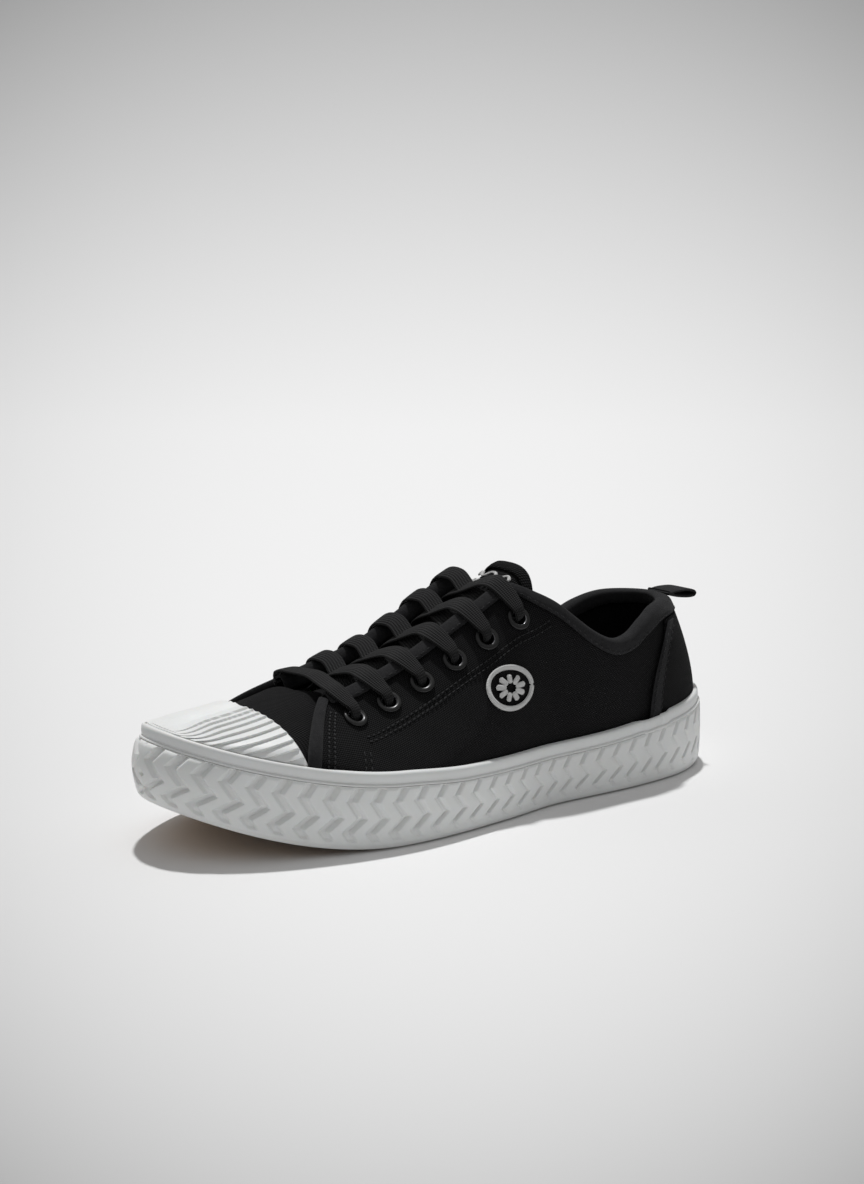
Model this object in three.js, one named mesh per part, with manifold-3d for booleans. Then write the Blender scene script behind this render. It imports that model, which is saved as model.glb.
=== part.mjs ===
// A left low-cut canvas cheer shoe, in millimetres.
// The toe points to -Y, the outer (lateral) side is +X, and +Z is up. The origin is on the ground, under
// the middle of the sole's length. The upper is a stack of thin layers on one smooth form, the last skin:
// each panel is a stretch of that skin between two depths, so panels that touch are laid on each other.
import * as THREE from "three";
import { mergeVertices } from "three/addons/utils/BufferGeometryUtils.js";
import Module from "manifold-3d";

const wasm = await Module();
wasm.setup();

// ---------- driving dimensions ----------
const CLEAR = 0.3; // between two pieces that lie on each other
const LAYER_CLEAR = 0.6; // between two layers of the upper, whose facets differ
const LAST_LENGTH = 252.6; // toe tip to heel back of the canvas where it enters the sole
const LAST_WIDTH = 86.4; // across the ball of the foot
// Half widths of the last: [station from toe to heel, share of LAST_WIDTH].
const LATERAL_OUTLINE = [
  [0.12, 0.398], [0.3, 0.532], [0.5, 0.475], [0.62, 0.407], [0.8, 0.388], [0.9, 0.329],
];
const MEDIAL_OUTLINE = [
  [0.12, 0.4], [0.3, 0.468], [0.5, 0.4], [0.58, 0.366], [0.66, 0.336], [0.8, 0.331], [0.9, 0.306],
];
const TOE_RADIUS = 23; // plan radius of the last at the toe tip
const HEEL_RADIUS = 21;
const TOE_SPRING = 18; // the toe's rise above the ground
const SPRING_END = 0.3; // where the sole comes down to the ground, as a share of the length
// Height of the sole wall, and of the instep ridge above it: [station, millimetres].
const WALL_HEIGHTS = [
  [0, 28.4], [0.15, 29.8], [0.3, 28.2], [0.42, 25.4], [0.6, 24.6], [0.72, 25.4], [0.85, 28.4], [1, 32],
];
const RIDGE_HEIGHTS = [
  [0, 0], [0.03, 1.5], [0.07, 6.5], [0.144, 14.5], [0.266, 29], [0.385, 41], [0.5, 57.2], [0.56, 64.4],
  [0.65, 73], [1, 80],
];
const RIDGE_RADIUS = 8; // rounding of the instep ridge
// How full each cross-section is: 2 is an ellipse, 1 a tent.
const LATERAL_FULLNESS = [
  [0, 2], [0.14, 2], [0.21, 1.5], [0.27, 1.12], [0.33, 1.2], [0.39, 1.42], [0.45, 1.62], [0.51, 1.81],
  [0.574, 2.2], [0.7, 2.5], [1, 2.2],
];
const MEDIAL_FULLNESS = [
  [0, 1.45], [0.14, 1.45], [0.21, 1.5], [0.28, 1.4], [0.385, 1.55], [0.5, 1.9], [0.574, 2.25], [0.7, 2.5],
  [1, 2.2],
];
const HEEL_LEAN = 13; // how far the heel's top leans over the foot
const HEEL_LEAN_HEIGHT = 38; // the height above the sole wall at which it leans that far

const OUTSOLE = 2.4; // thicknesses
const MIDSOLE_TOE = 4.5;
const MIDSOLE_HEEL = 8.5;
const BOARD = 1.5;
const SOCKLINER_FOAM = 4;
const SOCKLINER_COVER = 0.8;
const CANVAS = 1;
const FACING = 0.6;
const LINING = 0.6;
const CAP = 1.8;
const TAPE = 0.8;
const PATCH = 0.8;

const OUTSOLE_SHOWS = 0.7; // the outsole's stand below the sidewall
const OUTSOLE_EDGE = 0.9; // plates of the sole reach this far past the last
const WALL = 3.4; // sidewall thickness where it bulges
const BAND_HEIGHT = 5;
const BAND = 1.7;
const TREAD_DEPTH = 1.2;
const TREAD_WIDTH = 2.2;
const TREAD_PITCH = 13;

const CAP_LENGTH = 35.5; // from the last's toe tip to the cap's back edge, on the ridge
const CAP_EDGE_SWEEP = 4.9; // how much further back that edge is at the sides
const CAP_RIBS = 9;
const CAP_RIB_HEIGHT = 0.7;
const THROAT_START = 60; // from the last's toe tip
const THROAT_HALF_GAP = 16; // at the throat's start
const THROAT_SPREAD = 0.012; // growth of the half gap per millimetre
const EYELETS = 6; // on each side
const EYELET_PITCH = 15.1; // along the sole
const EYELET_FROM_START = 8;
const EYELET_FROM_EDGE = 10.6; // eyelet centre to throat edge, across
const EYELET_SEAT = 1; // the outer lip's stand above the canvas
const EYELET_BORE = 2.7; // radii
const EYELET_BARREL = 3.2;
const EYELET_FLANGE = 5;
const EYELET_LIP = 0.6;
const FACING_WIDTH = 23; // the strip inside that backs the eyelets
const FRONT_RUN = 19; // the quarter's front edge sweeps this far forward on its way down
const PATCH_FRONT = 79; // from the middle of the sole back to the heel patch's front edge, at the sole
const PATCH_SWEEP = 24; // how much further back that edge is at the topline
const TRIM_SETBACK = 0.8;
const TRIM_WIDTH = 6;

// Height of the opening's edge above the ground: [station, millimetres].
const LATERAL_TOPLINE = [
  [0.55, 92], [0.6, 84], [0.64, 78], [0.7, 66], [0.745, 60.6], [0.79, 61.6], [0.84, 66.5], [0.9, 70.4],
  [1, 70.6],
];
const MEDIAL_TOPLINE = [
  [0.55, 92], [0.6, 84], [0.64, 78], [0.7, 66], [0.75, 60.6], [0.82, 61], [0.88, 65.5], [0.94, 69.4],
  [1, 70.6],
];
const BINDING_LEG = 4.6; // how deep the binding reaches over each side of an edge

const TONGUE_CANVAS = 0.8;
const TONGUE_FOAM = 2.6;
const TONGUE_LINING = 0.6;
const TONGUE_STANDS = 14.5; // past the last eyelet
const TONGUE_HALF_WIDTH = 26;
const LACE_WIDTH = 8;
const LACE_THICKNESS = 1.2;
const LACE_BUNCHED = [3.3, 1.8]; // width and thickness inside an eyelet
const AGLET_LENGTH = 14;
const AGLET_RADIUS = 1.7;
const TAB_WIDTH = 14;
const TAB_REACH = 16.3;
const TAB_TAPE = 1.1;
const EMBLEM_SIZE = 21;
const EMBLEM_PLACE = [6.8, 49.7]; // y and z of its middle
const SOCKLINER_INSET = 6.5; // from the last's outline

const SIDES = { lateral: 1, medial: -1 };

// ---------- small helpers ----------
const { clamp, lerp, smoothstep } = THREE.MathUtils;

// A smooth function through [station, value] pairs, held level beyond its ends.
function through(pairs) {
  const slope = (i) => {
    const a = pairs[Math.max(i - 1, 0)];
    const b = pairs[Math.min(i + 1, pairs.length - 1)];
    return (b[1] - a[1]) / (b[0] - a[0]);
  };
  return (t) => {
    const last = pairs.length - 1;
    if (t <= pairs[0][0]) return pairs[0][1];
    if (t >= pairs[last][0]) return pairs[last][1];
    const i = pairs.findIndex((pair, k) => k < last && t < pairs[k + 1][0]);
    const run = pairs[i + 1][0] - pairs[i][0];
    const q = (t - pairs[i][0]) / run;
    const rise = pairs[i + 1][1] - pairs[i][1];
    const [m0, m1] = [slope(i) * run, slope(i + 1) * run];
    return pairs[i][1] + m0 * q + (3 * rise - 2 * m0 - m1) * q ** 2 + (m0 + m1 - 2 * rise) * q ** 3;
  };
}

const smoothMin = (a, b, blend) => 0.5 * (a + b - Math.sqrt((a - b) ** 2 + blend ** 2));
const range = (n) => Array.from({ length: n }, (unused, i) => i);
const spread = (from, to, steps) => range(steps + 1).map((i) => lerp(from, to, i / steps));

// ---------- the last skin ----------
const station = (y) => clamp(y / LAST_LENGTH + 0.5, 0, 1); // 0 at the toe, 1 at the heel
const along = (t) => (t - 0.5) * LAST_LENGTH;
const fromToe = (distance) => distance / LAST_LENGTH;

// Half width over sqrt(t(1 - t)) is nearly level, so the outline is round at both ends.
function outlineShape(outline) {
  const end = (radius) => Math.sqrt(2 * LAST_LENGTH * radius);
  const inner = outline.map(([t, share]) => [t, (share * LAST_WIDTH) / Math.sqrt(t * (1 - t))]);
  return through([[0, end(TOE_RADIUS)], ...inner, [1, end(HEEL_RADIUS)]]);
}
const shapeOf = { 1: outlineShape(LATERAL_OUTLINE), [-1]: outlineShape(MEDIAL_OUTLINE) };
const fullnessOf = { 1: through(LATERAL_FULLNESS), [-1]: through(MEDIAL_FULLNESS) };
const toplineOf = { 1: through(LATERAL_TOPLINE), [-1]: through(MEDIAL_TOPLINE) };
const wallHeight = through(WALL_HEIGHTS);
const ridgeHeight = through(RIDGE_HEIGHTS);
const halfWidth = (side, t) => shapeOf[side](t) * Math.sqrt(Math.max(t * (1 - t), 0));
const soleBottom = (t) => TOE_SPRING * Math.max(1 - t / SPRING_END, 0) ** 2;
const bandTop = (t) => soleBottom(t) + wallHeight(t);
const midsole = (t) => lerp(MIDSOLE_TOE, MIDSOLE_HEEL, smoothstep(t, 0.35, 0.75));
const midsoleTop = (t) => soleBottom(t) + OUTSOLE + CLEAR + midsole(t);
const skirtBottom = (t) => midsoleTop(t) + CLEAR;

// A point of the skin. v is -1 at the bottom of the canvas inside the sole wall, 0 at the wall's top and
// 1 on the instep ridge. Above 0 each cross-section is a quarter of a superellipse.
function skin(side, t, v) {
  const wide = halfWidth(side, t);
  const low = bandTop(t);
  if (v <= 0) return new THREE.Vector3(side * wide, along(t), low + v * (low - skirtBottom(t)));
  const power = 2 / fullnessOf[side](t);
  const angle = (v * Math.PI) / 2;
  const reach = Math.hypot(wide, RIDGE_RADIUS) - RIDGE_RADIUS;
  const across = Math.cos(angle) ** power * reach + RIDGE_RADIUS;
  const height = ridgeHeight(t) * Math.sin(angle) ** power;
  const x = Math.sqrt(Math.max(across ** 2 - RIDGE_RADIUS ** 2, 0));
  const lean = HEEL_LEAN * smoothstep(t, 0.72, 1) * (height / HEEL_LEAN_HEIGHT) ** 1.5;
  return new THREE.Vector3(side * x, along(t) - lean, low + height);
}

// The skin's outward direction. The heights and widths taper off together at the toe tip, where it turns
// level, so that layers stay apart there.
function outward(side, t, v) {
  const flat = planNormal(side, t);
  if (v <= -0.3) return flat;
  const step = 0.004;
  const vi = clamp(v, step, 1 - step);
  const rise = skin(side, t, vi + step).sub(skin(side, t, vi - step));
  const slope = Math.atan2(Math.hypot(rise.x), rise.z) * smoothstep(v, -0.3, 0.02);
  const taper = smoothstep(t, 0, 0.07);
  const level = flat.clone().multiplyScalar(lerp(1, Math.cos(slope), taper)).setZ(Math.sin(slope) * taper);
  const tilt = smoothstep(t, 0.04, 0.14) * (1 - smoothstep(t, 0.8, 0.92));
  if (tilt === 0) return level;
  const run = skin(side, t + step, vi).sub(skin(side, t - step, vi));
  const square = run.cross(rise).multiplyScalar(side).normalize();
  return level.lerp(flat.lerp(square, smoothstep(v, -0.3, 0.02)), tilt);
}

function onSkin(side, t, v, depth) {
  const point = skin(side, t, v).addScaledVector(outward(side, t, v), depth);
  if (v > 0.999) point.x = 0; // both sides meet on the ridge
  return point;
}

// v where the skin is a given distance from the ridge, or at a given height.
function vAtX(side, t, x) {
  const wide = Math.hypot(halfWidth(side, t), RIDGE_RADIUS) - RIDGE_RADIUS;
  const share = clamp((Math.hypot(x, RIDGE_RADIUS) - RIDGE_RADIUS) / Math.max(wide, 1e-6), 0, 1);
  return (Math.acos(share ** (fullnessOf[side](t) / 2)) * 2) / Math.PI;
}
function vAtZ(side, t, z) {
  const share = clamp((z - bandTop(t)) / Math.max(ridgeHeight(t), 1e-6), 0, 1);
  return (Math.asin(share ** (fullnessOf[side](t) / 2)) * 2) / Math.PI;
}

// ---------- layers: [outer depth, inner depth] from the skin ----------
const below = (layer, thickness) => [layer[1] - LAYER_CLEAR, layer[1] - LAYER_CLEAR - thickness];
const above = (layer, thickness) => [layer[0] + LAYER_CLEAR + thickness, layer[0] + LAYER_CLEAR];
const quarterLayer = [0, -CANVAS];
const facingLayer = below(quarterLayer, FACING);
const liningLayer = below(facingLayer, LINING);
const vampLayer = below(quarterLayer, CANVAS);
const vampLiningLayer = below(vampLayer, LINING);
const capLayer = above([vampLayer[0]], CAP);
const patchLayer = above(quarterLayer, PATCH);
const trimLayer = above(patchLayer, TAPE);
const bindingOuter = above([quarterLayer[0] + 0.4], TAPE);
const bindingInner = below([0, liningLayer[1] - 0.2], TAPE);

// ---------- solids from grids, rings and sweeps ----------
// Equal corners are merged, and the faces that fold flat there are dropped.
function solid(points, triangles) {
  const geometry = new THREE.BufferGeometry();
  const numbers = points.flatMap((p) => [p.x, p.y, p.z]);
  geometry.setAttribute("position", new THREE.Float32BufferAttribute(numbers, 3));
  geometry.setIndex(triangles.flat());
  const merged = mergeVertices(geometry, 1e-3);
  const index = Array.from(merged.index.array);
  const kept = range(index.length / 3)
    .map((i) => index.slice(3 * i, 3 * i + 3))
    .filter(([a, b, c]) => a !== b && b !== c && c !== a);
  merged.setIndex(kept.flat());
  if (toManifold(merged).volume() < 0) merged.setIndex(kept.flatMap(([a, b, c]) => [a, c, b]));
  return merged;
}

function toManifold(geometry) {
  const bare = geometry.clone();
  for (const name of Object.keys(bare.attributes)) if (name !== "position") bare.deleteAttribute(name);
  const merged = mergeVertices(bare, 1e-3);
  return new wasm.Manifold(
    new wasm.Mesh({
      numProp: 3,
      vertProperties: new Float32Array(merged.attributes.position.array),
      triVerts: new Uint32Array(merged.index.array),
    }),
  );
}

function fromManifold(made) {
  const mesh = made.getMesh();
  const geometry = new THREE.BufferGeometry();
  geometry.setAttribute("position", new THREE.BufferAttribute(new Float32Array(mesh.vertProperties), 3));
  geometry.setIndex(Array.from(mesh.triVerts));
  return geometry;
}

// A plate between two grids of points: place(i, j, 1) is its outer face and place(i, j, 0) its inner one.
// With tip set, its first column folds on itself, so the two halves are stitched there.
function plate(columns, rows, place, tip = false) {
  const grid = (k) => range(columns + 1).flatMap((i) => range(rows + 1).map((j) => place(i, j, k)));
  const points = [...grid(0), ...grid(1)];
  const at = (i, j, k) => k * (columns + 1) * (rows + 1) + i * (rows + 1) + j;
  const triangles = [];
  const quad = (a, b, c, d) => triangles.push([a, b, c], [a, c, d]);
  for (const i of range(columns))
    for (const j of range(rows)) {
      quad(at(i, j, 1), at(i + 1, j, 1), at(i + 1, j + 1, 1), at(i, j + 1, 1));
      quad(at(i, j, 0), at(i, j + 1, 0), at(i + 1, j + 1, 0), at(i + 1, j, 0));
    }
  for (const i of range(columns)) {
    quad(at(i, 0, 0), at(i + 1, 0, 0), at(i + 1, 0, 1), at(i, 0, 1));
    quad(at(i, rows, 1), at(i + 1, rows, 1), at(i + 1, rows, 0), at(i, rows, 0));
  }
  for (const j of range(rows)) {
    if (!tip) quad(at(0, j, 0), at(0, j, 1), at(0, j + 1, 1), at(0, j + 1, 0));
    quad(at(columns, j, 1), at(columns, j, 0), at(columns, j + 1, 0), at(columns, j + 1, 1));
  }
  return solid(points, triangles);
}

// A closed section carried along a row of places: section(i) gives its corners in order. An open run gets
// end faces.
function sweep(sections, closed = false) {
  const corners = sections[0].length;
  const count = sections.length;
  const triangles = [];
  for (const i of range(closed ? count : count - 1))
    for (const k of range(corners)) {
      const [a, b] = [i * corners + k, i * corners + ((k + 1) % corners)];
      const [c, d] = [((i + 1) % count) * corners + k, ((i + 1) % count) * corners + ((k + 1) % corners)];
      triangles.push([a, b, d], [a, d, c]);
    }
  if (!closed) {
    for (const [i, flip] of [[0, true], [count - 1, false]]) {
      for (const [a, b, c] of endFaces(sections[i]))
        triangles.push(flip ? [a, c, b].map((n) => n + i * corners) : [a, b, c].map((n) => n + i * corners));
    }
  }
  return solid(sections.flat(), triangles);
}

// Triangles across a flat outline, wound the way its corners run.
function endFaces(corners) {
  const centre = corners.reduce((sum, p) => sum.add(p), new THREE.Vector3()).divideScalar(corners.length);
  const arms = corners.map((p) => p.clone().sub(centre));
  const normal = new THREE.Vector3();
  arms.forEach((arm, i) => normal.add(arm.clone().cross(arms[(i + 1) % arms.length])));
  const right = arms[1].clone().sub(arms[0]).normalize();
  const up = normal.normalize().clone().cross(right);
  const flat = arms.map((arm) => new THREE.Vector2(arm.dot(right), arm.dot(up)));
  return THREE.ShapeUtils.triangulateShape(flat, []);
}

// ---------- the sole: rings round the last, and plates inside it ----------
const AROUND = 24; // steps from toe to heel along one side

// Stations spaced evenly by angle, so that they are close together where the outline is round.
const roundStations = (steps, from = 0, to = 1) => {
  const angle = (t) => Math.acos(1 - 2 * t);
  return spread(angle(from), angle(to), steps).map((a) => (1 - Math.cos(a)) / 2);
};

// Places round the whole outline: { side, t }, from the toe down the lateral side and back up the medial.
const loop = [
  ...roundStations(AROUND).slice(0, -1).map((t) => ({ side: 1, t })),
  ...roundStations(AROUND).slice(1).reverse().map((t) => ({ side: -1, t })),
];

// The outline's outward direction in plan.
function planNormal(side, t) {
  if (t < 1e-6) return new THREE.Vector3(0, -1, 0);
  if (t > 1 - 1e-6) return new THREE.Vector3(0, 1, 0);
  const step = Math.min(t, 1 - t, 0.01) * 0.4;
  const slope = (halfWidth(side, t + step) - halfWidth(side, t - step)) / (2 * step * LAST_LENGTH);
  return new THREE.Vector3(side, -slope, 0).normalize();
}

function beside(side, t, out, z) {
  return new THREE.Vector3(side * halfWidth(side, t), along(t), z).addScaledVector(planNormal(side, t), out);
}

// What is laid on the canvas and runs down behind the band: the cap in front, the patch and trim behind.
function laidOn(t) {
  const capEnd = fromToe(CAP_LENGTH + CAP_EDGE_SWEEP);
  const cap = (capLayer[0] + CAP_RIB_HEIGHT) * (1 - smoothstep(t, capEnd + 0.015, capEnd + 0.05));
  const heel = trimLayer[0] * smoothstep(t, station(PATCH_FRONT) - 0.07, station(PATCH_FRONT) - 0.03);
  return Math.max(cap, heel, 0) + LAYER_CLEAR;
}

const bandFoot = (t) => bandTop(t) - BAND_HEIGHT;

function sidewall() {
  return sweep(
    loop.map(({ side, t }) => {
      const low = soleBottom(t) + OUTSOLE_SHOWS;
      const high = bandFoot(t) - CLEAR;
      const bulge = OUTSOLE_EDGE + CLEAR + WALL;
      const inner = OUTSOLE_EDGE + CLEAR;
      const upper = Math.max(laidOn(t), inner);
      const step = midsoleTop(t) - 0.4;
      const face = [
        [bulge - 1.2, low], [bulge, lerp(low, high, 0.22)], [bulge + 0.1, lerp(low, high, 0.6)],
        [bulge - 0.6, high],
      ];
      const back = [[upper, high], [upper, step], [inner, step]];
      return [[inner, low], ...face, ...back].map(([out, z]) => beside(side, t, out, z));
    }),
    true,
  );
}

function foxingBand() {
  return sweep(
    loop.map(({ side, t }) => {
      const inner = laidOn(t);
      const outer = Math.max(inner + 0.9, OUTSOLE_EDGE + CLEAR + BAND);
      const [foot, top] = [bandFoot(t), bandTop(t)];
      const section = [[inner, foot], [outer, foot], [outer, top - 1.2], [outer - 0.5, top], [inner, top]];
      return section.map(([out, z]) => beside(side, t, out, z));
    }),
    true,
  );
}

// A plate that fills the outline grown by out, between two heights.
function filled(out, low, high, columns = AROUND, rows = 2) {
  const stations = roundStations(columns);
  return plate(columns, rows, (i, j, k) => {
    const t = stations[i];
    const share = (2 * j) / rows - 1;
    const rim = beside(share < 0 ? -1 : 1, t, out, 0);
    const other = beside(share < 0 ? 1 : -1, t, out, 0);
    const middle = new THREE.Vector3(0, (rim.y + other.y) / 2, 0);
    return middle.lerp(rim, Math.abs(share)).setZ(k ? high(t) : low(t));
  });
}

// Zigzag grooves across the tread.
function outsole() {
  const top = (t) => soleBottom(t) + OUTSOLE;
  let made = toManifold(filled(OUTSOLE_EDGE, soleBottom, top));
  const zig = 5;
  const count = Math.floor((LAST_LENGTH * (1 - SPRING_END)) / TREAD_PITCH) - 1;
  for (const i of range(count)) {
    const y = along(SPRING_END) + TREAD_PITCH * (i + 0.2);
    const xs = spread(-60, 60, 8);
    const line = (shift) => xs.map((x, k) => new THREE.Vector2(x, y + shift + (k % 2 ? zig : 0)));
    const shape = new THREE.Shape([...line(0), ...line(TREAD_WIDTH).reverse()]);
    const cutter = new THREE.ExtrudeGeometry(shape, { depth: 2 * TREAD_DEPTH, bevelEnabled: false });
    cutter.translate(0, 0, -TREAD_DEPTH);
    made = made.subtract(toManifold(cutter));
  }
  return fromManifold(made);
}

// ---------- the upper ----------
const throatStart = station(-LAST_LENGTH / 2 + THROAT_START);
const halfGap = (t) => THROAT_HALF_GAP + THROAT_SPREAD * Math.max((t - throatStart) * LAST_LENGTH, 0);

// v of the quarter's upper edge: along the throat, then down along the topline.
function edgeV(side, t) {
  const throat = vAtX(side, t, halfGap(t));
  if (t < 0.5) return throat;
  const open = lerp(throat, 1.5, smoothstep(t, 0.58, 0.7));
  return smoothMin(open, vAtZ(side, t, toplineOf[side](t)), 0.1);
}

// How far v moves for one millimetre along the section.
function perMillimetre(side, t, v) {
  const vi = clamp(v, 0.01, 0.97);
  return 0.02 / skin(side, t, vi + 0.01).distanceTo(skin(side, t, vi - 0.01));
}

function offCentre(point, side) {
  if (side * point.x < CLEAR / 2) point.x = (side * CLEAR) / 2; // the two sides meet at the heel seam
  return point;
}

// The quarter's front edge leans forward on its way down; share is 0 at the sole and 1 at the throat.
const quarterFront = (share) => throatStart - fromToe(FRONT_RUN * (1 - share ** 2.6));

// v at a share of the way up a panel. Its first row is the straight skirt inside the sole wall.
function rowV(share, rows, low, high) {
  if (low >= 0) return lerp(low, high, share);
  return share * rows <= 1 ? lerp(low, 0, share * rows) : lerp(0, high, (share * rows - 1) / (rows - 1));
}

// Stations of a panel, closer together along the dipping topline and round the heel.
function panelStation(from, u) {
  if (u < 0.3) return lerp(from, 0.53, u / 0.3);
  if (u < 0.7) return lerp(0.53, 0.86, (u - 0.3) / 0.4);
  const [a, b] = [Math.acos(1 - 2 * 0.86), Math.PI];
  return (1 - Math.cos(lerp(a, b, (u - 0.7) / 0.3))) / 2;
}

// One side of the upper from front(share) to the heel, share of the way up from low to the upper edge.
function sidePanel(side, layer, front, { columns = 28, rows = 7, back = 1, low = () => -1, down = 0 } = {}) {
  return plate(columns, rows, (i, j, k) => {
    const share = j / rows;
    const t = back < 1 ? lerp(front(share), back, i / columns) : panelStation(front(share), i / columns);
    const high = edgeV(side, t) - down * perMillimetre(side, t, edgeV(side, t));
    return offCentre(onSkin(side, t, rowV(share, rows, low(t), high), layer[1 - k]), side);
  });
}

// A piece that spans both sides over the ridge, from the toe tip back to back(v).
function toePanel(layer, back, { columns = 10, rows = 16, raised = () => 0 } = {}) {
  const place = (i, j, k) => {
    const across = (2 * j) / rows - 1;
    const side = across < 0 ? -1 : 1;
    const v = rowV(1 - Math.abs(across), rows / 2, -1, 1);
    const t = back(v) * (i / columns) ** 1.4;
    return onSkin(side, t, v, layer[1 - k] + (k ? raised(i / columns, v, side) : 0));
  };
  return plate(columns, rows, place, true);
}

const capBack = (v) => fromToe(CAP_LENGTH + CAP_EDGE_SWEEP * (1 - clamp(v, 0, 1)) ** 1.5);

// The ribs of the cap run lengthwise and step down towards the sides like shingles.
function toeCap() {
  const raised = (share, v) => {
    if (v < 0.02) return 0;
    const rib = ((1 - v) * CAP_RIBS * 0.62) % 1;
    return CAP_RIB_HEIGHT * rib * smoothstep(share, 0.3, 0.5) * (1 - smoothstep(share, 0.92, 1));
  };
  return toePanel(capLayer, capBack, { columns: 7, rows: 30, raised });
}

const vampBack = (v) => {
  const aside = smoothstep(1 - v, 0.25, 0.62);
  return fromToe(THROAT_START - 4 + 5.5 * aside - (FRONT_RUN - 4) * smoothstep(0.55 - v, 0, 0.9));
};

// The piece that wraps the heel, from front(share) on one side round to the other.
function heelPanel(layer, front, down, { columns = 10, rows = 7, low = () => -1 } = {}) {
  return plate(2 * columns, rows, (i, j, k) => {
    const side = i <= columns ? 1 : -1;
    const share = j / rows;
    const from = Math.acos(1 - 2 * front(share));
    const reach = 1 - Math.abs(i - columns) / columns;
    const t = (1 - Math.cos(lerp(from, Math.PI, reach))) / 2;
    const high = edgeV(side, t) - down * perMillimetre(side, t, edgeV(side, t));
    return onSkin(side, t, rowV(share, rows, low(t), high), layer[1 - k]);
  });
}
const patchFront = (share) => station(PATCH_FRONT + PATCH_SWEEP * share ** 3.2);

function heelTrim(side) {
  const [columns, rows] = [2, 7];
  return plate(columns, rows, (i, j, k) => {
    const share = j / rows;
    const t = Math.min(patchFront(share) + fromToe(TRIM_SETBACK + (TRIM_WIDTH * i) / columns), 0.985);
    const edge = edgeV(side, t);
    const high = edge - (BINDING_LEG + 1.6) * perMillimetre(side, t, edge);
    return onSkin(side, t, lerp(-0.22, high, share), trimLayer[1 - k]);
  });
}

// A folded tape over the upper edge, from one end of the throat round the heel to the other.
function toplineBinding() {
  const topline = [...spread(0.54, 0.86, 15), ...roundStations(7, 0.86, 1).slice(1)];
  const stations = [...spread(throatStart + fromToe(1.5), 0.54, 8), ...topline.slice(1)];
  const places = [...stations.map((t) => [1, t]), ...stations.slice(0, -1).reverse().map((t) => [-1, t])];
  const fold = -0.8; // how far the tape's inside stands above the edge
  const section = [
    [BINDING_LEG, bindingOuter[0]], [fold - TAPE, bindingOuter[0] - 0.2],
    [fold - TAPE, bindingInner[1] + 0.2], [BINDING_LEG, bindingInner[1]],
    [BINDING_LEG, bindingInner[0]], [fold, bindingInner[0]],
    [fold, bindingOuter[1]], [BINDING_LEG, bindingOuter[1]],
  ];
  return sweep(places.map(([side, t]) => {
    const edge = edgeV(side, t);
    const scale = perMillimetre(side, t, edge);
    return section.map(([down, depth]) => onSkin(side, t, Math.min(edge - down * scale, 0.995), depth));
  }));
}

// ---------- eyelets ----------
const eyeletStation = (k) => throatStart + fromToe(EYELET_FROM_START + k * EYELET_PITCH);
function eyeletFrame(side, k) {
  const t = eyeletStation(k);
  const v = vAtX(side, t, halfGap(t) + EYELET_FROM_EDGE);
  const axis = outward(side, t, v).normalize();
  const towards = skin(side, t, v + 0.01).sub(skin(side, t, v));
  towards.addScaledVector(axis, -towards.dot(axis)).normalize(); // to the throat's edge, across
  return { centre: onSkin(side, t, v, 0), axis, towards };
}

function eyeletPlace(side, k) {
  const { centre, axis, towards } = eyeletFrame(side, k);
  return new THREE.Matrix4().makeBasis(towards, axis, towards.clone().cross(axis)).setPosition(centre);
}

// A turned ring, closed in on itself: rolled over outside, clinched inside.
function eyelet(side, k) {
  const top = EYELET_SEAT + EYELET_LIP;
  const foot = liningLayer[1] - CLEAR - 0.45;
  const profile = [
    [EYELET_BORE, foot - 0.5], [EYELET_BARREL + 1, foot - 0.5], [EYELET_BARREL + 1, foot],
    [EYELET_BARREL, foot], [EYELET_BARREL, EYELET_SEAT], [EYELET_FLANGE, EYELET_SEAT],
    [EYELET_FLANGE - 0.4, top], [EYELET_BORE + 0.3, top], [EYELET_BORE, top - 0.3],
  ];
  const rounds = 8;
  const rings = range(rounds).map((n) => {
    const angle = (2 * Math.PI * n) / rounds;
    return profile.map(([r, y]) => new THREE.Vector3(r * Math.cos(angle), y, r * Math.sin(angle)));
  });
  const geometry = sweep(rings, true);
  return geometry.applyMatrix4(eyeletPlace(side, k));
}

function withEyeletHoles(side, geometry) {
  let made = toManifold(geometry);
  for (const k of range(EYELETS)) {
    const drill = new THREE.CylinderGeometry(EYELET_BARREL + 2 * CLEAR, EYELET_BARREL + 2 * CLEAR, 14, 8);
    made = made.subtract(toManifold(drill.applyMatrix4(eyeletPlace(side, k))));
  }
  return fromManifold(made);
}

// ---------- the lace: one flat cord, laced criss-cross over the throat's edges ----------
// A place given by its distance from the ridge, its distance along the sole and its depth.
function over(x, y, depth) {
  const side = x < 0 ? -1 : 1;
  const t = station(y);
  return onSkin(side, t, x === 0 ? 1 : vAtX(side, t, Math.abs(x)), depth);
}

// The direction of the throat's edge, in the plane of the ridge.
function slopeAxis(y) {
  return over(THROAT_HALF_GAP, y + 4, 0).sub(over(THROAT_HALF_GAP, y - 4, 0)).setX(0).normalize();
}
const laceUnder = bindingInner[1] - CLEAR - LACE_THICKNESS / 2 - 0.95;
const laceOver = bindingOuter[0] + CLEAR + LACE_THICKNESS / 2 + 0.4;

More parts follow.
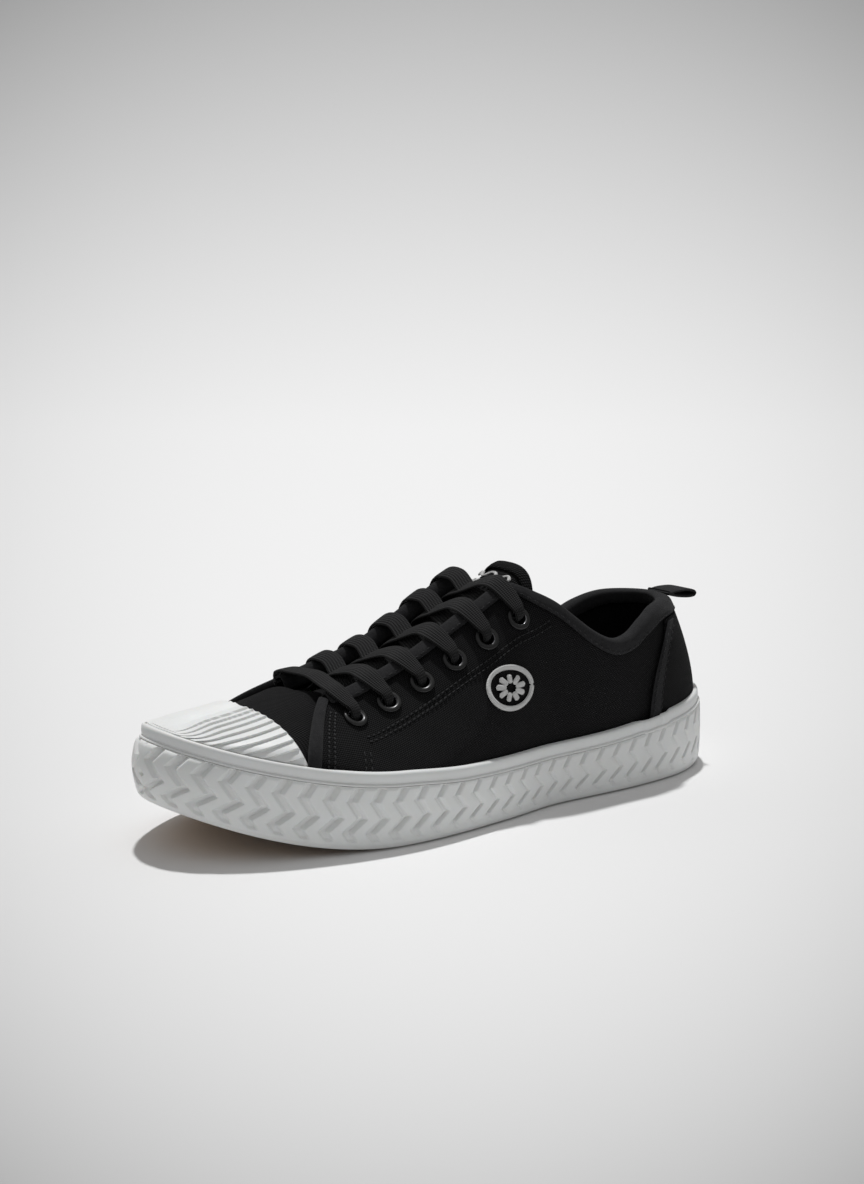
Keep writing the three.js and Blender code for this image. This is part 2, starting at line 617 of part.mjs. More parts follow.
// Way-points of one half of the lace, from the middle of the bar at the throat's start to its end:
// [place, width, thickness]. It goes down through each eyelet and comes back up beyond the next one.
function laceHalf(first) {
  const flat = [LACE_WIDTH, LACE_THICKNESS];
  const half = [LACE_WIDTH * 0.7, LACE_THICKNESS * 1.25];
  const top = EYELET_SEAT + EYELET_LIP + CLEAR + LACE_BUNCHED[1] / 2 + 0.35;
  const under = liningLayer[1] - CLEAR - 0.95 - CLEAR - LACE_BUNCHED[1] / 2 - 0.45;
  const points = [[over(0, along(eyeletStation(0)) - 1.5, 1.1), ...flat]];
  for (const k of range(EYELETS)) {
    const side = k % 2 ? -first : first;
    const y = along(eyeletStation(k));
    const gap = halfGap(eyeletStation(k));
    const { centre, axis, towards } = eyeletFrame(side, k);
    const edge = (x, dy, depth) => points.push([over(side * (gap + x), y + dy, depth), ...flat]);
    const hole = (across, dy, depth, size) => {
      const place = centre.clone().addScaledVector(towards, across).addScaledVector(axis, depth);
      points.push([place.addScaledVector(slopeAxis(place.y), dy), ...size]);
    };
    edge(-6, k ? -3.4 : -2, laceOver - 0.5);
    edge(0, -2.6, laceOver + 0.4);
    hole(6, -1.2, top, half);
    hole(2.6, -0.3, top, LACE_BUNCHED);
    hole(0.4, 0, top - 1.4, LACE_BUNCHED);
    hole(0, 0, (top + under) / 2, LACE_BUNCHED);
    if (k === EYELETS - 1) {
      hole(-0.3, 0, under + 1, LACE_BUNCHED);
      break;
    }
    hole(0.4, 0, under + 1.4, LACE_BUNCHED);
    hole(2.6, 0.4, under, LACE_BUNCHED);
    hole(6, 2.8, under - 0.7, half);
    edge(-0.5, 6, laceUnder - 0.3);
    edge(-6, 7.2, laceUnder + 0.8);
    points.push([over(0, y + 0.5 * (6 + EYELET_PITCH - 3), side < 0 ? -1.1 : -2.8), ...flat]);
  }
  return points;
}

// The end hangs down along the lining.
function laceTail(side) {
  const t = eyeletStation(EYELETS - 1);
  const from = vAtX(side, t, halfGap(t) + EYELET_FROM_EDGE + 3);
  const depth = liningLayer[1] - CLEAR - LACE_THICKNESS / 2 - 0.6;
  return [[from, 1.4], [from * 0.85, 1.2], [from * 0.7, 1.6], [from * 0.55, 2.4]].map(([v, deeper], n) => [
    onSkin(side, t + fromToe(n * 1.2), v, depth - deeper),
    n < 1 ? LACE_WIDTH * 0.7 : LACE_WIDTH, n < 1 ? 1.7 : LACE_THICKNESS]);
}

function laceRun() {
  const half = (first) => {
    const points = laceHalf(first);
    const end = EYELETS % 2 ? first : -first;
    return [...points, ...laceTail(end)];
  };
  const way = [...half(-1).slice(1).reverse(), ...half(1)];
  const curve = new THREE.CatmullRomCurve3(way.map(([p]) => p), false, "centripetal");
  const steps = 2;
  const total = (way.length - 1) * steps;
  return range(total + 1).map((n) => {
    const [i, q] = [Math.min(Math.floor(n / steps), way.length - 2), (n % steps) / steps];
    const share = n === total ? 1 : q;
    return {
      point: curve.getPoint(n / total),
      tangent: curve.getTangent(n / total),
      width: lerp(way[i][1], way[i + 1][1], share),
      thickness: lerp(way[i][2], way[i + 1][2], share),
    };
  });
}

function ribbonSection({ point, tangent, width, thickness }) {
  const axis = slopeAxis(point.y);
  const wide = axis.addScaledVector(tangent, -axis.dot(tangent)).normalize();
  const thick = tangent.clone().cross(wide).normalize();
  return [[1, 1], [-1, 1], [-1, -1], [1, -1]].map(([a, b]) =>
    point.clone().addScaledVector(wide, (a * width) / 2).addScaledVector(thick, (b * thickness) / 2));
}

// A moulded sleeve past the lace's end.
function aglet(end) {
  const forward = end.tangent.clone().multiplyScalar(end.outward);
  const axis = slopeAxis(end.point.y);
  const wide = axis.addScaledVector(forward, -axis.dot(forward)).normalize();
  const thick = forward.clone().cross(wide).normalize();
  const sides = 8;
  return sweep([[0, 1], [0.8, 1], [1, 0.7]].map(([share, scale]) => range(sides).map((n) => {
    const angle = (2 * Math.PI * n) / sides;
    return end.point.clone().addScaledVector(forward, CLEAR + share * AGLET_LENGTH)
      .addScaledVector(wide, Math.cos(angle) * AGLET_RADIUS * scale * 1.3)
      .addScaledVector(thick, Math.sin(angle) * AGLET_RADIUS * scale * 0.7);
  })));
}

// ---------- the tongue ----------
const tongueRoot = along(throatStart) - 11;
const tongueTip = along(eyeletStation(EYELETS - 1)) + TONGUE_STANDS;
const tongueDepth = laceUnder - LACE_THICKNESS / 2 - CLEAR - 1.5;

// Across is -1 to 1, up is 0 at the root and 1 at the tip. It is domed between the laces' edges, and
// its free end stands up clear of the throat.
function onTongue(across, up, depth) {
  const y = lerp(tongueRoot, tongueTip, up);
  const half = lerp(THROAT_HALF_GAP - 1, TONGUE_HALF_WIDTH, smoothstep(up, 0, 0.5));
  const domed = 1.3 * (1 - across ** 2) * smoothstep(up, 0.2, 0.34);
  const stands = (2 - 5 * across ** 2) * smoothstep(up, 0.82, 1);
  const seat = lerp(vampLiningLayer[1] - LAYER_CLEAR, tongueDepth, smoothstep(up, 0.08, 0.19));
  return over(across * half, y, seat + domed + stands + depth);
}

function tonguePlate(high, low, { from = 0, to = 1, half = 1, columns = 12, rows = 6 } = {}) {
  return plate(columns, rows, (i, j, k) =>
    onTongue(half * ((2 * j) / rows - 1), lerp(from, to, i / columns), k ? high : low));
}

const tongueLayers = {
  shell: [0, -TONGUE_CANVAS],
  foam: below([0, -TONGUE_CANVAS], TONGUE_FOAM),
};
tongueLayers.lining = below(tongueLayers.foam, TONGUE_LINING);

function tongueBinding() {
  const upPer = 1 / (tongueTip - tongueRoot);
  const top = LAYER_CLEAR + TAPE;
  const low = tongueLayers.lining[1] - LAYER_CLEAR - TAPE - 0.5;
  const leg = -BINDING_LEG * upPer;
  const inside = 2 * CLEAR * upPer;
  const outside = (2 * CLEAR + TAPE) * upPer;
  const section = [
    [leg, top], [outside, top - 0.4], [outside, low + 0.4], [leg, low],
    [leg, low + TAPE], [inside, low + TAPE], [inside, LAYER_CLEAR], [leg, LAYER_CLEAR],
  ];
  const across = spread(-0.97, 0.97, 8);
  return sweep(across.map((share) => section.map(([up, depth]) => onTongue(share, 1 + up, depth))));
}

// ---------- the heel's pull tab and the emblem ----------
// A loop of webbing, seen from the side as a wedge that rises from the heel's upper edge.
function pullTab() {
  const edge = edgeV(1, 1);
  const root = onSkin(1, 1, edge, bindingOuter[0]).add(new THREE.Vector3(0, -0.1, 0.5));
  const end = TAB_REACH;
  const path = [
    [0, 0.55], [4, 3.6], [9, 6.3], [end - 3.3, 7.3], [end - 0.7, 6.2], [end, 3],
    [end - 0.7, 0], [end - 3.3, -1.4], [8, -1.4], [3, -0.95],
  ].map(([along, up]) => new THREE.Vector2(along, up));
  const middle = new THREE.Vector2(TAB_REACH / 2, 2.4);
  return sweep(path.map((p, n) => {
    const before = path[(n + path.length - 1) % path.length];
    const after = path[(n + 1) % path.length];
    const run = after.clone().sub(before).normalize();
    const out = new THREE.Vector2(run.y, -run.x);
    if (out.dot(p.clone().sub(middle)) < 0) out.negate();
    return [[1, 0], [1, -TAB_TAPE], [-1, -TAB_TAPE], [-1, 0]].map(([across, inwards]) =>
      new THREE.Vector3((across * TAB_WIDTH) / 2, p.x + out.x * inwards, p.y + out.y * inwards).add(root));
  }), true);
}

// A round burst of short petals with an open middle, laid on the outer quarter.
function emblem() {
  const petals = 9;
  const shape = new THREE.Shape(range(2 * petals).map((n) => {
    const angle = (Math.PI * n) / petals;
    const r = (EMBLEM_SIZE / 2) * (n % 2 ? 0.62 : 1);
    return new THREE.Vector2(r * Math.sin(angle), r * 0.84 * Math.cos(angle));
  }));
  shape.holes.push(new THREE.Path(range(petals).map((n) => {
    const angle = (-2 * Math.PI * (n + 0.5)) / petals;
    return new THREE.Vector2(EMBLEM_SIZE * 0.14 * Math.sin(angle), EMBLEM_SIZE * 0.14 * Math.cos(angle));
  })));
  const flat = new THREE.ExtrudeGeometry(shape, { depth: 0.6, bevelEnabled: false });
  const geometry = mergeVertices(bare(flat), 1e-3);
  const position = geometry.attributes.position;
  for (const i of range(position.count)) {
    const [y, z] = [EMBLEM_PLACE[0] - position.getX(i), EMBLEM_PLACE[1] + position.getY(i)];
    const t = station(y);
    const p = onSkin(1, t, vAtZ(1, t, z), 0.75 + position.getZ(i));
    position.setXYZ(i, p.x, p.y, p.z);
  }
  return solidFrom(geometry);
}

function bare(geometry) {
  geometry.deleteAttribute("normal");
  geometry.deleteAttribute("uv");
  return geometry;
}

function solidFrom(geometry) {
  const p = geometry.attributes.position;
  const points = range(p.count).map((i) => new THREE.Vector3().fromBufferAttribute(p, i));
  const index = Array.from(geometry.index.array);
  return solid(points, range(index.length / 3).map((i) => index.slice(3 * i, 3 * i + 3)));
}

// ---------- colours and assembly ----------
const looks = {
  canvas: { color: 0x17171a, roughness: 0.92 },
  lining: { color: 0x1d1d20, roughness: 0.95 },
  tape: { color: 0x131315, roughness: 0.9 },
  rubber: { color: 0xecebe6, roughness: 0.55 },
  gum: { color: 0xa98a63, roughness: 0.7 },
  foam: { color: 0xd8d6cf, roughness: 0.85 },
  board: { color: 0xc9b595, roughness: 0.9 },
  enamel: { color: 0x101012, roughness: 0.3, metalness: 0.6 },
  lace: { color: 0x141416, roughness: 0.85 },
  plastic: { color: 0x0c0c0d, roughness: 0.35 },
  thread: { color: 0xf1f0ec, roughness: 0.7 },
};

const shoe = new THREE.Group();
shoe.name = "cheer_shoe";
function add(name, geometry, look) {
  const mesh = new THREE.Mesh(geometry, new THREE.MeshStandardMaterial(looks[look]));
  mesh.name = name;
  shoe.add(mesh);
}

const rise = (amount) => (t) => midsoleTop(t) + amount;
const boardTop = CLEAR + BOARD;
const foamTop = boardTop + CLEAR + SOCKLINER_FOAM;
const insideUpper = vampLiningLayer[1] - CLEAR;
const coverTop = foamTop + CLEAR + SOCKLINER_COVER;
const labelLayer = [2 * CLEAR + 0.5, 2 * CLEAR];
add("outsole", outsole(), "gum");
add("midsole", filled(OUTSOLE_EDGE, (t) => soleBottom(t) + OUTSOLE + CLEAR, midsoleTop), "foam");
add("sidewall", sidewall(), "rubber");
add("foxing_band", foxingBand(), "rubber");
add("insole_board", filled(insideUpper, rise(CLEAR), rise(boardTop)), "board");
add("sockliner_foam", filled(-SOCKLINER_INSET, rise(boardTop + CLEAR), rise(foamTop)), "foam");
add("sockliner_cover", filled(-SOCKLINER_INSET, rise(foamTop + CLEAR), rise(coverTop)), "lining");

add("toe_cap", toeCap(), "rubber");
add("vamp", toePanel(vampLayer, vampBack), "canvas");
add("vamp_lining", toePanel(vampLiningLayer, vampBack), "lining");
add("heel_patch", heelPanel(patchLayer, patchFront, BINDING_LEG + 0.8), "canvas");
add("heel_counter", heelPanel(facingLayer, patchFront, BINDING_LEG + 2), "board");
add("topline_binding", toplineBinding(), "tape");

for (const [name, side] of Object.entries(SIDES)) {
  const outer = sidePanel(side, quarterLayer, quarterFront);
  const inner = sidePanel(side, liningLayer, () => throatStart + 0.025);
  const facing = sidePanel(side, facingLayer, () => throatStart + 0.014, {
    columns: 10,
    rows: 3,
    back: eyeletStation(EYELETS - 1) + fromToe(7),
    low: (t) => edgeV(side, t) - FACING_WIDTH * perMillimetre(side, t, edgeV(side, t)),
  });
  add(`quarter_${name}`, withEyeletHoles(side, outer), "canvas");
  add(`lining_${name}`, withEyeletHoles(side, inner), "lining");
  add(`facing_${name}`, withEyeletHoles(side, facing), "lining");
  add(`heel_trim_${name}`, heelTrim(side), "tape");
  for (const k of range(EYELETS)) add(`eyelet_${name}_${k + 1}`, eyelet(side, k), "enamel");
}

const run = laceRun();
add("lace", sweep(run.map(ribbonSection)), "lace");
for (const end of [{ ...run[0], outward: -1 }, { ...run[run.length - 1], outward: 1 }]) {
  add(end.point.x > 0 ? "aglet_lateral" : "aglet_medial", aglet(end), "plastic");
}

add("tongue_shell", tonguePlate(...tongueLayers.shell), "canvas");
add("tongue_foam", tonguePlate(...tongueLayers.foam, { to: 0.985 }), "foam");
add("tongue_lining", tonguePlate(...tongueLayers.lining, { to: 0.985 }), "lining");
add("tongue_binding", tongueBinding(), "tape");
const labelPlace = { from: 0.83, to: 0.93, half: 0.5, columns: 3, rows: 4 };
add("tongue_label", tonguePlate(...labelLayer, labelPlace), "thread");
add("pull_tab", pullTab(), "tape");
add("side_emblem", emblem(), "thread");

export default shoe;
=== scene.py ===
import bmesh
import bpy
import numpy as np
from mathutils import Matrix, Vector


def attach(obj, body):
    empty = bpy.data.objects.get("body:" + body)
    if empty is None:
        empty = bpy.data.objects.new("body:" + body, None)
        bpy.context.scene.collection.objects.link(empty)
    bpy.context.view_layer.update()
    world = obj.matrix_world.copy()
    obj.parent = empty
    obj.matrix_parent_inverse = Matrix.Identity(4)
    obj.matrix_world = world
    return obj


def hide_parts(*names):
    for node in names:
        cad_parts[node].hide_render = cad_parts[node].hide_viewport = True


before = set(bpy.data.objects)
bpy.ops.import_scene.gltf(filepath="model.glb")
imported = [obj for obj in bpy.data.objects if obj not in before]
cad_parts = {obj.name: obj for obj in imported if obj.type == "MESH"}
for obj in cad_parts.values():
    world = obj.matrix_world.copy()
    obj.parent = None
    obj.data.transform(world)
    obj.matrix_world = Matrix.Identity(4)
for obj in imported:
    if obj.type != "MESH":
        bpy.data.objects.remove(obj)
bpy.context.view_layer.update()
scene = bpy.context.scene

# The view, the floor and the light. A plain white sweep that curves up far behind the shoe, with painted
# shade that darkens its colour away from the middle of the view; one distant light from high on the far
# side, and an even glow from all round.
camera = bpy.data.objects.new("camera", bpy.data.cameras.new("camera"))
camera.data.lens = 60
camera.data.sensor_width = 36
camera.data.clip_start = 0.02
camera.location = (0.6225, -0.4483, 0.2181)
aim = Vector((-0.0189, 0.0093, 0.0791)) - camera.location
camera.rotation_euler = aim.to_track_quat("-Z", "Y").to_euler()
scene.collection.objects.link(camera)
scene.camera = camera
scene.view_settings.view_transform = "Standard"


class Signal:
    """One output of a node tree. Arithmetic between signals, or with numbers, adds Math nodes."""

    def __init__(self, finish, socket):
        self.finish, self.socket = finish, socket

    def _maths(self, operation, first, second):
        return self.finish.node("Math", {"operation": operation}, {0: first, 1: second})

    def __add__(self, other):
        return self._maths("ADD", self, other)

    def __radd__(self, other):
        return self._maths("ADD", other, self)

    def __sub__(self, other):
        return self._maths("SUBTRACT", self, other)

    def __rsub__(self, other):
        return self._maths("SUBTRACT", other, self)

    def __mul__(self, other):
        return self._maths("MULTIPLY", self, other)

    def __rmul__(self, other):
        return self._maths("MULTIPLY", other, self)

    def __truediv__(self, other):
        return self._maths("DIVIDE", self, other)

    def __pow__(self, other):
        return self._maths("POWER", self, other)

    def __gt__(self, other):
        return self._maths("GREATER_THAN", self, other)

    def sine(self):
        return self._maths("SINE", self, 0)

    def size(self):
        return self._maths("ABSOLUTE", self, 0)

    def least(self, other):
        return self._maths("MINIMUM", self, other)

    def most(self, other):
        return self._maths("MAXIMUM", self, other)


class Finish:
    """A material: one Principled surface, fed by expressions on signals."""

    def __init__(self, name, colour, roughness, **sockets):
        self.material = bpy.data.materials.new(name)
        self.material.use_nodes = True
        self.tree = self.material.node_tree
        self.surface = self.tree.nodes["Principled BSDF"]
        self.surface.inputs["Base Color"].default_value = (*colour, 1)
        self.surface.inputs["Roughness"].default_value = roughness
        for socket, value in sockets.items():
            label = socket.replace("_", " ").title().replace("Ior", "IOR")
            self.surface.inputs[label].default_value = value

    def node(self, kind, settings=None, values=None, out=0):
        """Adds a node: its settings first, then the values or links of its sockets."""
        node = self.tree.nodes.new("ShaderNode" + kind)
        for name, value in (settings or {}).items():
            if name == "stops":
                for i, (place, grey) in enumerate(value):
                    row = node.color_ramp.elements
                    stop = row[i] if i < 2 else row.new(place)
                    stop.position = place
                    stop.color = (grey, grey, grey, 1)
            else:
                setattr(node, name, value)
        for name, value in (values or {}).items():
            if isinstance(value, Signal):
                self.tree.links.new(value.socket, node.inputs[name])
            else:
                node.inputs[name].default_value = value
        return Signal(self, node.outputs[out])

    def feed(self, socket, signal):
        self.tree.links.new(signal.socket, self.surface.inputs[socket])

    def place(self):
        """Place on the piece, in metres."""
        return self.node("TexCoord", out="Object")

    def across_and_along(self):
        """The two numbers of the piece's own map, in millimetres."""
        split = self.node("SeparateXYZ", values={0: self.node("UVMap")})
        return split, Signal(self, split.socket.node.outputs["Y"])

    def speckle(self, scale, detail=3.0, roughness=0.6):
        """Noise from 0 to 1 whose lumps are 1 / scale metres."""
        return self.node("TexNoise", values={"Vector": self.place(), "Scale": scale, "Detail": detail,
                                             "Roughness": roughness})

    def blend(self, share, low, high):
        """The colour low where share is 0, high where it is 1."""
        return self.node("Mix", {"data_type": "RGBA"}, {0: share, 6: (*low, 1), 7: (*high, 1)}, out=2)

    def relief(self, height, depth, strength=1.0):
        """Raises the surface by height times depth metres."""
        values = {"Height": height, "Distance": depth, "Strength": strength}
        self.feed("Normal", self.node("Bump", values=values))


def bowl(flat, out, high):
    """A flat disc that curves up into a wall: height high * s * s, s = (r - flat) / (out - flat)."""
    turn = np.linspace(0, 2 * np.pi, 97)[:-1]
    r = np.concatenate([np.linspace(0.05, flat, 12), np.linspace(flat, out, 40)[1:]])
    s = np.clip((r - flat) / (out - flat), 0, 1)
    points = np.stack([r[:, None] * np.cos(turn), r[:, None] * np.sin(turn),
                       np.broadcast_to((high * s ** 2)[:, None], (len(r), len(turn)))], -1)
    return points


def quads(rows, columns, closed_rows=False, closed_columns=False):
    """The faces of a grid of points, each joining a point to the next one along each way."""
    r = np.arange(rows if closed_rows else rows - 1)[:, None]
    c = np.arange(columns if closed_columns else columns - 1)[None, :]
    r2, c2 = (r + 1) % rows, (c + 1) % columns
    corners = [r * columns + c, r * columns + c2, r2 * columns + c2, r2 * columns + c]
    return np.stack(corners, -1).reshape(-1, 4)


def piece(name, points, faces, finish, uv=None, smooth=True, solid=True):
    """A mesh object from points in metres; a closed one is merged and turned to face outwards."""
    mesh = bpy.data.meshes.new(name)
    mesh.from_pydata(points.reshape(-1, 3).tolist(), [], [list(map(int, face)) for face in faces])
    if uv is not None:
        corner = np.empty(len(mesh.loops), dtype=np.int32)
        mesh.loops.foreach_get("vertex_index", corner)
        layer = mesh.uv_layers.new(name="UVMap")
        layer.data.foreach_set("uv", uv.reshape(-1, 2)[corner].ravel())
    if solid:
        shape = bmesh.new()
        shape.from_mesh(mesh)
        bmesh.ops.remove_doubles(shape, verts=shape.verts, dist=2e-6)
        bmesh.ops.recalc_face_normals(shape, faces=shape.faces)
        shape.to_mesh(mesh)
        shape.free()
    mesh.polygons.foreach_set("use_smooth", [smooth] * len(mesh.polygons))
    mesh.materials.append(finish.material)
    thing = bpy.data.objects.new(name, mesh)
    scene.collection.objects.link(thing)
    return thing


def settle(thing, body, slot, *nodes, crease=40):
    """Gives a piece its body, and hides the nodes that it stands for. slot is not used."""
    if crease:
        thing.data.set_sharp_from_angle(angle=np.radians(crease))
    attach(thing, body)
    if nodes:
        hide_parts(*nodes)
    return thing


paper = Finish("sweep", (0.9, 0.9, 0.905), 0.95, specular_ior_level=0.1)
# Painted shade: the paper's colour darkens with the angle between the camera's aim and the way to each
# point, standing in for light falling off towards the edges of the view.
towards = paper.node("VectorMath", {"operation": "SUBTRACT"}, {0: paper.place(), 1: camera.location})
towards = paper.node("VectorMath", {"operation": "NORMALIZE"}, {0: towards})
facing = paper.node("VectorMath", {"operation": "DOT_PRODUCT"}, {0: towards, 1: aim.normalized()}, out=1)
painted_vignette = ((1 - facing) / 0.0639).least(1.3).most(0) ** 1.3
paper.feed("Base Color", paper.blend(painted_vignette * 0.5, (0.9, 0.9, 0.9), (0, 0, 0)))
sweep_points = bowl(1.6, 7.0, 4.2)
floor = piece("floor", sweep_points, quads(*sweep_points.shape[:2], closed_columns=True), paper, solid=False)
disc = piece("floor_middle", sweep_points[0], [list(range(96))], paper, solid=False)
for ground in (floor, disc):
    ground.data.flip_normals()


sun = bpy.data.objects.new("key", bpy.data.lights.new("key", "SUN"))
sun.data.energy = 2.2
sun.data.angle = 0.055
sun.rotation_euler = Vector((0.3, -0.16, -1)).to_track_quat("-Z", "Y").to_euler()
scene.collection.objects.link(sun)
scene.world = bpy.data.worlds.new("studio")
scene.world.use_nodes = True
scene.world.node_tree.nodes["Background"].inputs["Color"].default_value = (1.0, 1.0, 1.0, 1)
scene.world.node_tree.nodes["Background"].inputs["Strength"].default_value = 0.37

# The sole wall: one long strip of white rubber wrapped round the sole and vulcanised to it. Its face
# is moulded in zigzag blocks, deep at the toe and shallow at the heel, over a plain strip at the foot.
LENGTH = 252.6


def curve(stations, values):
    """A smooth line through values at stations: a cubic on each stretch, whose slope at each station is
    that between its neighbours. It is level beyond its ends."""
    x, y = np.array(stations, float), np.array(values, float)
    after, before = np.minimum(np.arange(len(x)) + 1, len(x) - 1), np.maximum(np.arange(len(x)) - 1, 0)
    slope = (y[after] - y[before]) / (x[after] - x[before])

    def at(t):
        t = np.clip(t, x[0], x[-1])
        i = np.clip(np.searchsorted(x, t, side="right") - 1, 0, len(x) - 2)
        run, rise = x[i + 1] - x[i], y[i + 1] - y[i]
        q, a, b = (t - x[i]) / run, slope[i] * run, slope[i + 1] * run
        return y[i] + a * q + (3 * rise - 2 * a - b) * q ** 2 + (a + b - 2 * rise) * q ** 3

    return at


def ease(x, low, high):
    """Rises from 0 at low to 1 at high: 3 s^2 - 2 s^3."""
    s = np.clip((x - low) / (high - low), 0, 1)
    return s * s * (3 - 2 * s)


def mix(a, b, share):
    """a where share is 0, b where it is 1."""
    return a + (b - a) * share


def outline(stations, halves):
    """Half width of the last over sqrt(t (1 - t)), which is nearly level, so its ends are round."""
    ends = np.sqrt(2 * LENGTH * np.array([23.0, 21.0]))
    inner = [w / np.sqrt(t * (1 - t)) for t, w in zip(stations, halves)]
    return curve([0, *stations, 1], [ends[0], *inner, ends[1]])


outlines = {1: outline([0.12, 0.3, 0.5, 0.62, 0.8, 0.9], [34.4, 46, 41, 35.2, 33.5, 28.4]),
            -1: outline([0.12, 0.3, 0.5, 0.58, 0.66, 0.8, 0.9], [34.6, 40.4, 34.6, 31.6, 29, 28.6, 26.4])}
wall_height = curve([0, 0.15, 0.3, 0.42, 0.6, 0.72, 0.85, 1], [28.4, 29.8, 28.2, 25.4, 24.6, 25.4, 28.4, 32])


def half_width(side, t):
    return outlines[side](t) * np.sqrt(np.maximum(t * (1 - t), 0))


def sole_bottom(t):
    return 18 * np.maximum(1 - t / 0.3, 0) ** 2


def band_top(t):
    return sole_bottom(t) + wall_height(t)


def midsole_top(t):
    return sole_bottom(t) + 2.7 + mix(4.5, 8.5, ease(t, 0.35, 0.75))


def plan_normal(side, t):
    """Which way the outline faces, seen from above."""
    near = np.clip(t, 1e-6, 1 - 1e-6)
    step = np.minimum(np.minimum(near, 1 - near), 0.01) * 0.4
    slope = (half_width(side, near + step) - half_width(side, near - step)) / (2 * step * LENGTH)
    x = np.where((t < 1e-6) | (t > 1 - 1e-6), 0, side / np.hypot(1, slope))
    y = np.where(t < 1e-6, -1, np.where(t > 1 - 1e-6, 1, -slope / np.hypot(1, slope)))
    return np.stack([x, y, np.zeros_like(x)], -1)


def round_stations(count, low=0.0, high=1.0):
    """Stations spaced evenly by angle: t = (1 - cos a) / 2."""
    a = np.linspace(np.arccos(1 - 2 * low), np.arccos(1 - 2 * high), count)
    return (1 - np.cos(a)) / 2


def even_stations(count):
    """Stations spaced evenly along the outline of the wider side."""
    t = round_stations(4001)
    run = np.hypot(np.diff(half_width(1, t)), np.diff(t) * LENGTH)
    total = np.concatenate([[0], np.cumsum(run)])
    return np.interp(np.linspace(0, total[-1], count), total, t), np.linspace(0, total[-1], count)


AROUND = 640
stations, distance = even_stations(AROUND)
ring_t = np.concatenate([stations[:-1], stations[::-1][:-1]])
ring_side = np.concatenate([np.ones(AROUND - 1), -np.ones(AROUND - 1)])
ring_run = np.concatenate([distance[:-1], distance[::-1][:-1]])


def ring_points(out, high):
    """Points beside the outline: out and high are arrays of one row per place of the ring."""
    rows = []
    for side in (1, -1):
        here = ring_side == side
        t = ring_t[here]
        base = np.stack([side * half_width(side, t), (t - 0.5) * LENGTH, np.zeros_like(t)], -1)
        normal = plan_normal(side, t)
        rows.append(base[:, None] + normal[:, None] * out[here][..., None]
                    + np.array([0, 0, 1]) * high[here][..., None])
    return np.concatenate(rows) / 1000


def laid_on(t):
    """How far what lies on the canvas stands out where the band covers it."""
    cap = 1.3 * (1 - ease(t, 0.177, 0.212))
    heel = 1.1 * ease(t, 0.78, 0.8)
    strip = 1.7 * ease(t, 0.785, 0.81) * (1 - ease(t, 0.846, 0.87))
    return cap + heel + strip + 0.4


ZIGZAG_DOWN = [0, 0.24, 0.5, 0.74, 0.92, 1]
ZIGZAG_SHIFT = [0, 3.4, -0.5, 5.2, 2.5, 1.9]
PITCH = 8.7


def block_relief(run, down):
    """Height of the moulded face: blocks that follow a zigzag, parted by grooves with a flat floor and
    sloped walls. Towards the heel the grooves are nearly filled and only fine slits are left."""
    shift = np.interp(down, ZIGZAG_DOWN, ZIGZAG_SHIFT) * mix(1.2, 1, ease(run, 20, 70))
    across = (((run - 3.1 + shift) / PITCH) % 1 - 0.5) * PITCH
    filled = ease(run, 55, 135)
    turns = [0, 0.2, 0.26, 0.48, 0.54, 0.7, 0.78, 0.9]
    open_arm = np.interp(down, turns, [1, 1, 0.55, 0.55, 1, 1, 0.5, 0.35])
    groove = 1 - ease(np.abs(across), 0.9, 2.3)
    wide_depth = mix(1.9, 0.3, filled) * mix(open_arm, 1, 0.4)
    slit = 1 - ease(np.abs(across - 0.5), 0.35, 0.95)
    slit_depth = mix(0.35, 1.2, filled) * open_arm ** 1.5
    fade = (1 - ease(down, 0.84, 0.9)) * ease(down, 0.0, 0.03)
    return -(groove * wide_depth + slit * slit_depth) * fade


face_down = np.linspace(0, 1, 72)
low = sole_bottom(ring_t) + 0.7
high = band_top(ring_t) - 5.3
bulge = np.interp(face_down, [0, 0.04, 0.4, 0.8, 0.93, 1], [3.9, 4.4, 4.75, 4.55, 4.2, 3.4])
relief = block_relief(ring_run[:, None], face_down[None, :])
toe_bulge = 2.2 * (1 - ease(ring_t, 0, 0.1))[:, None] * np.sin(np.pi * face_down[None, :] ** 0.8) ** 0.7
face_out = bulge[None, :] + relief + toe_bulge
face_high = mix(high[:, None], low[:, None], face_down[None, :])
inner = np.maximum(laid_on(ring_t), 1.2)
step_high = midsole_top(ring_t) - 0.4
back_out = np.stack([np.full_like(low, 1.2), np.full_like(low, 1.2), inner, inner], 1)
back_high = np.stack([low, step_high, step_high, high], 1)
wall_points = ring_points(np.concatenate([face_out, back_out], 1), np.concatenate([face_high, back_high], 1))

white_rubber = Finish("white_rubber", (0.80, 0.80, 0.785), 0.48, subsurface_weight=0.05,
                      specular_ior_level=0.42)
dirt = white_rubber.speckle(60, 5, 0.7)
pits = white_rubber.speckle(2200, 2)
white_rubber.feed("Base Color", white_rubber.blend(dirt, (0.90, 0.90, 0.895), (0.80, 0.795, 0.775)))
white_rubber.feed("Roughness", dirt * 0.25 + 0.36)
white_rubber.relief(pits * 0.4 + dirt * 0.6, 0.0002, 0.35)
wall = piece("sole_wall", wall_points, quads(*wall_points.shape[:2], True, True), white_rubber)
settle(wall, "shoe", "rubber", "sidewall", crease=28)

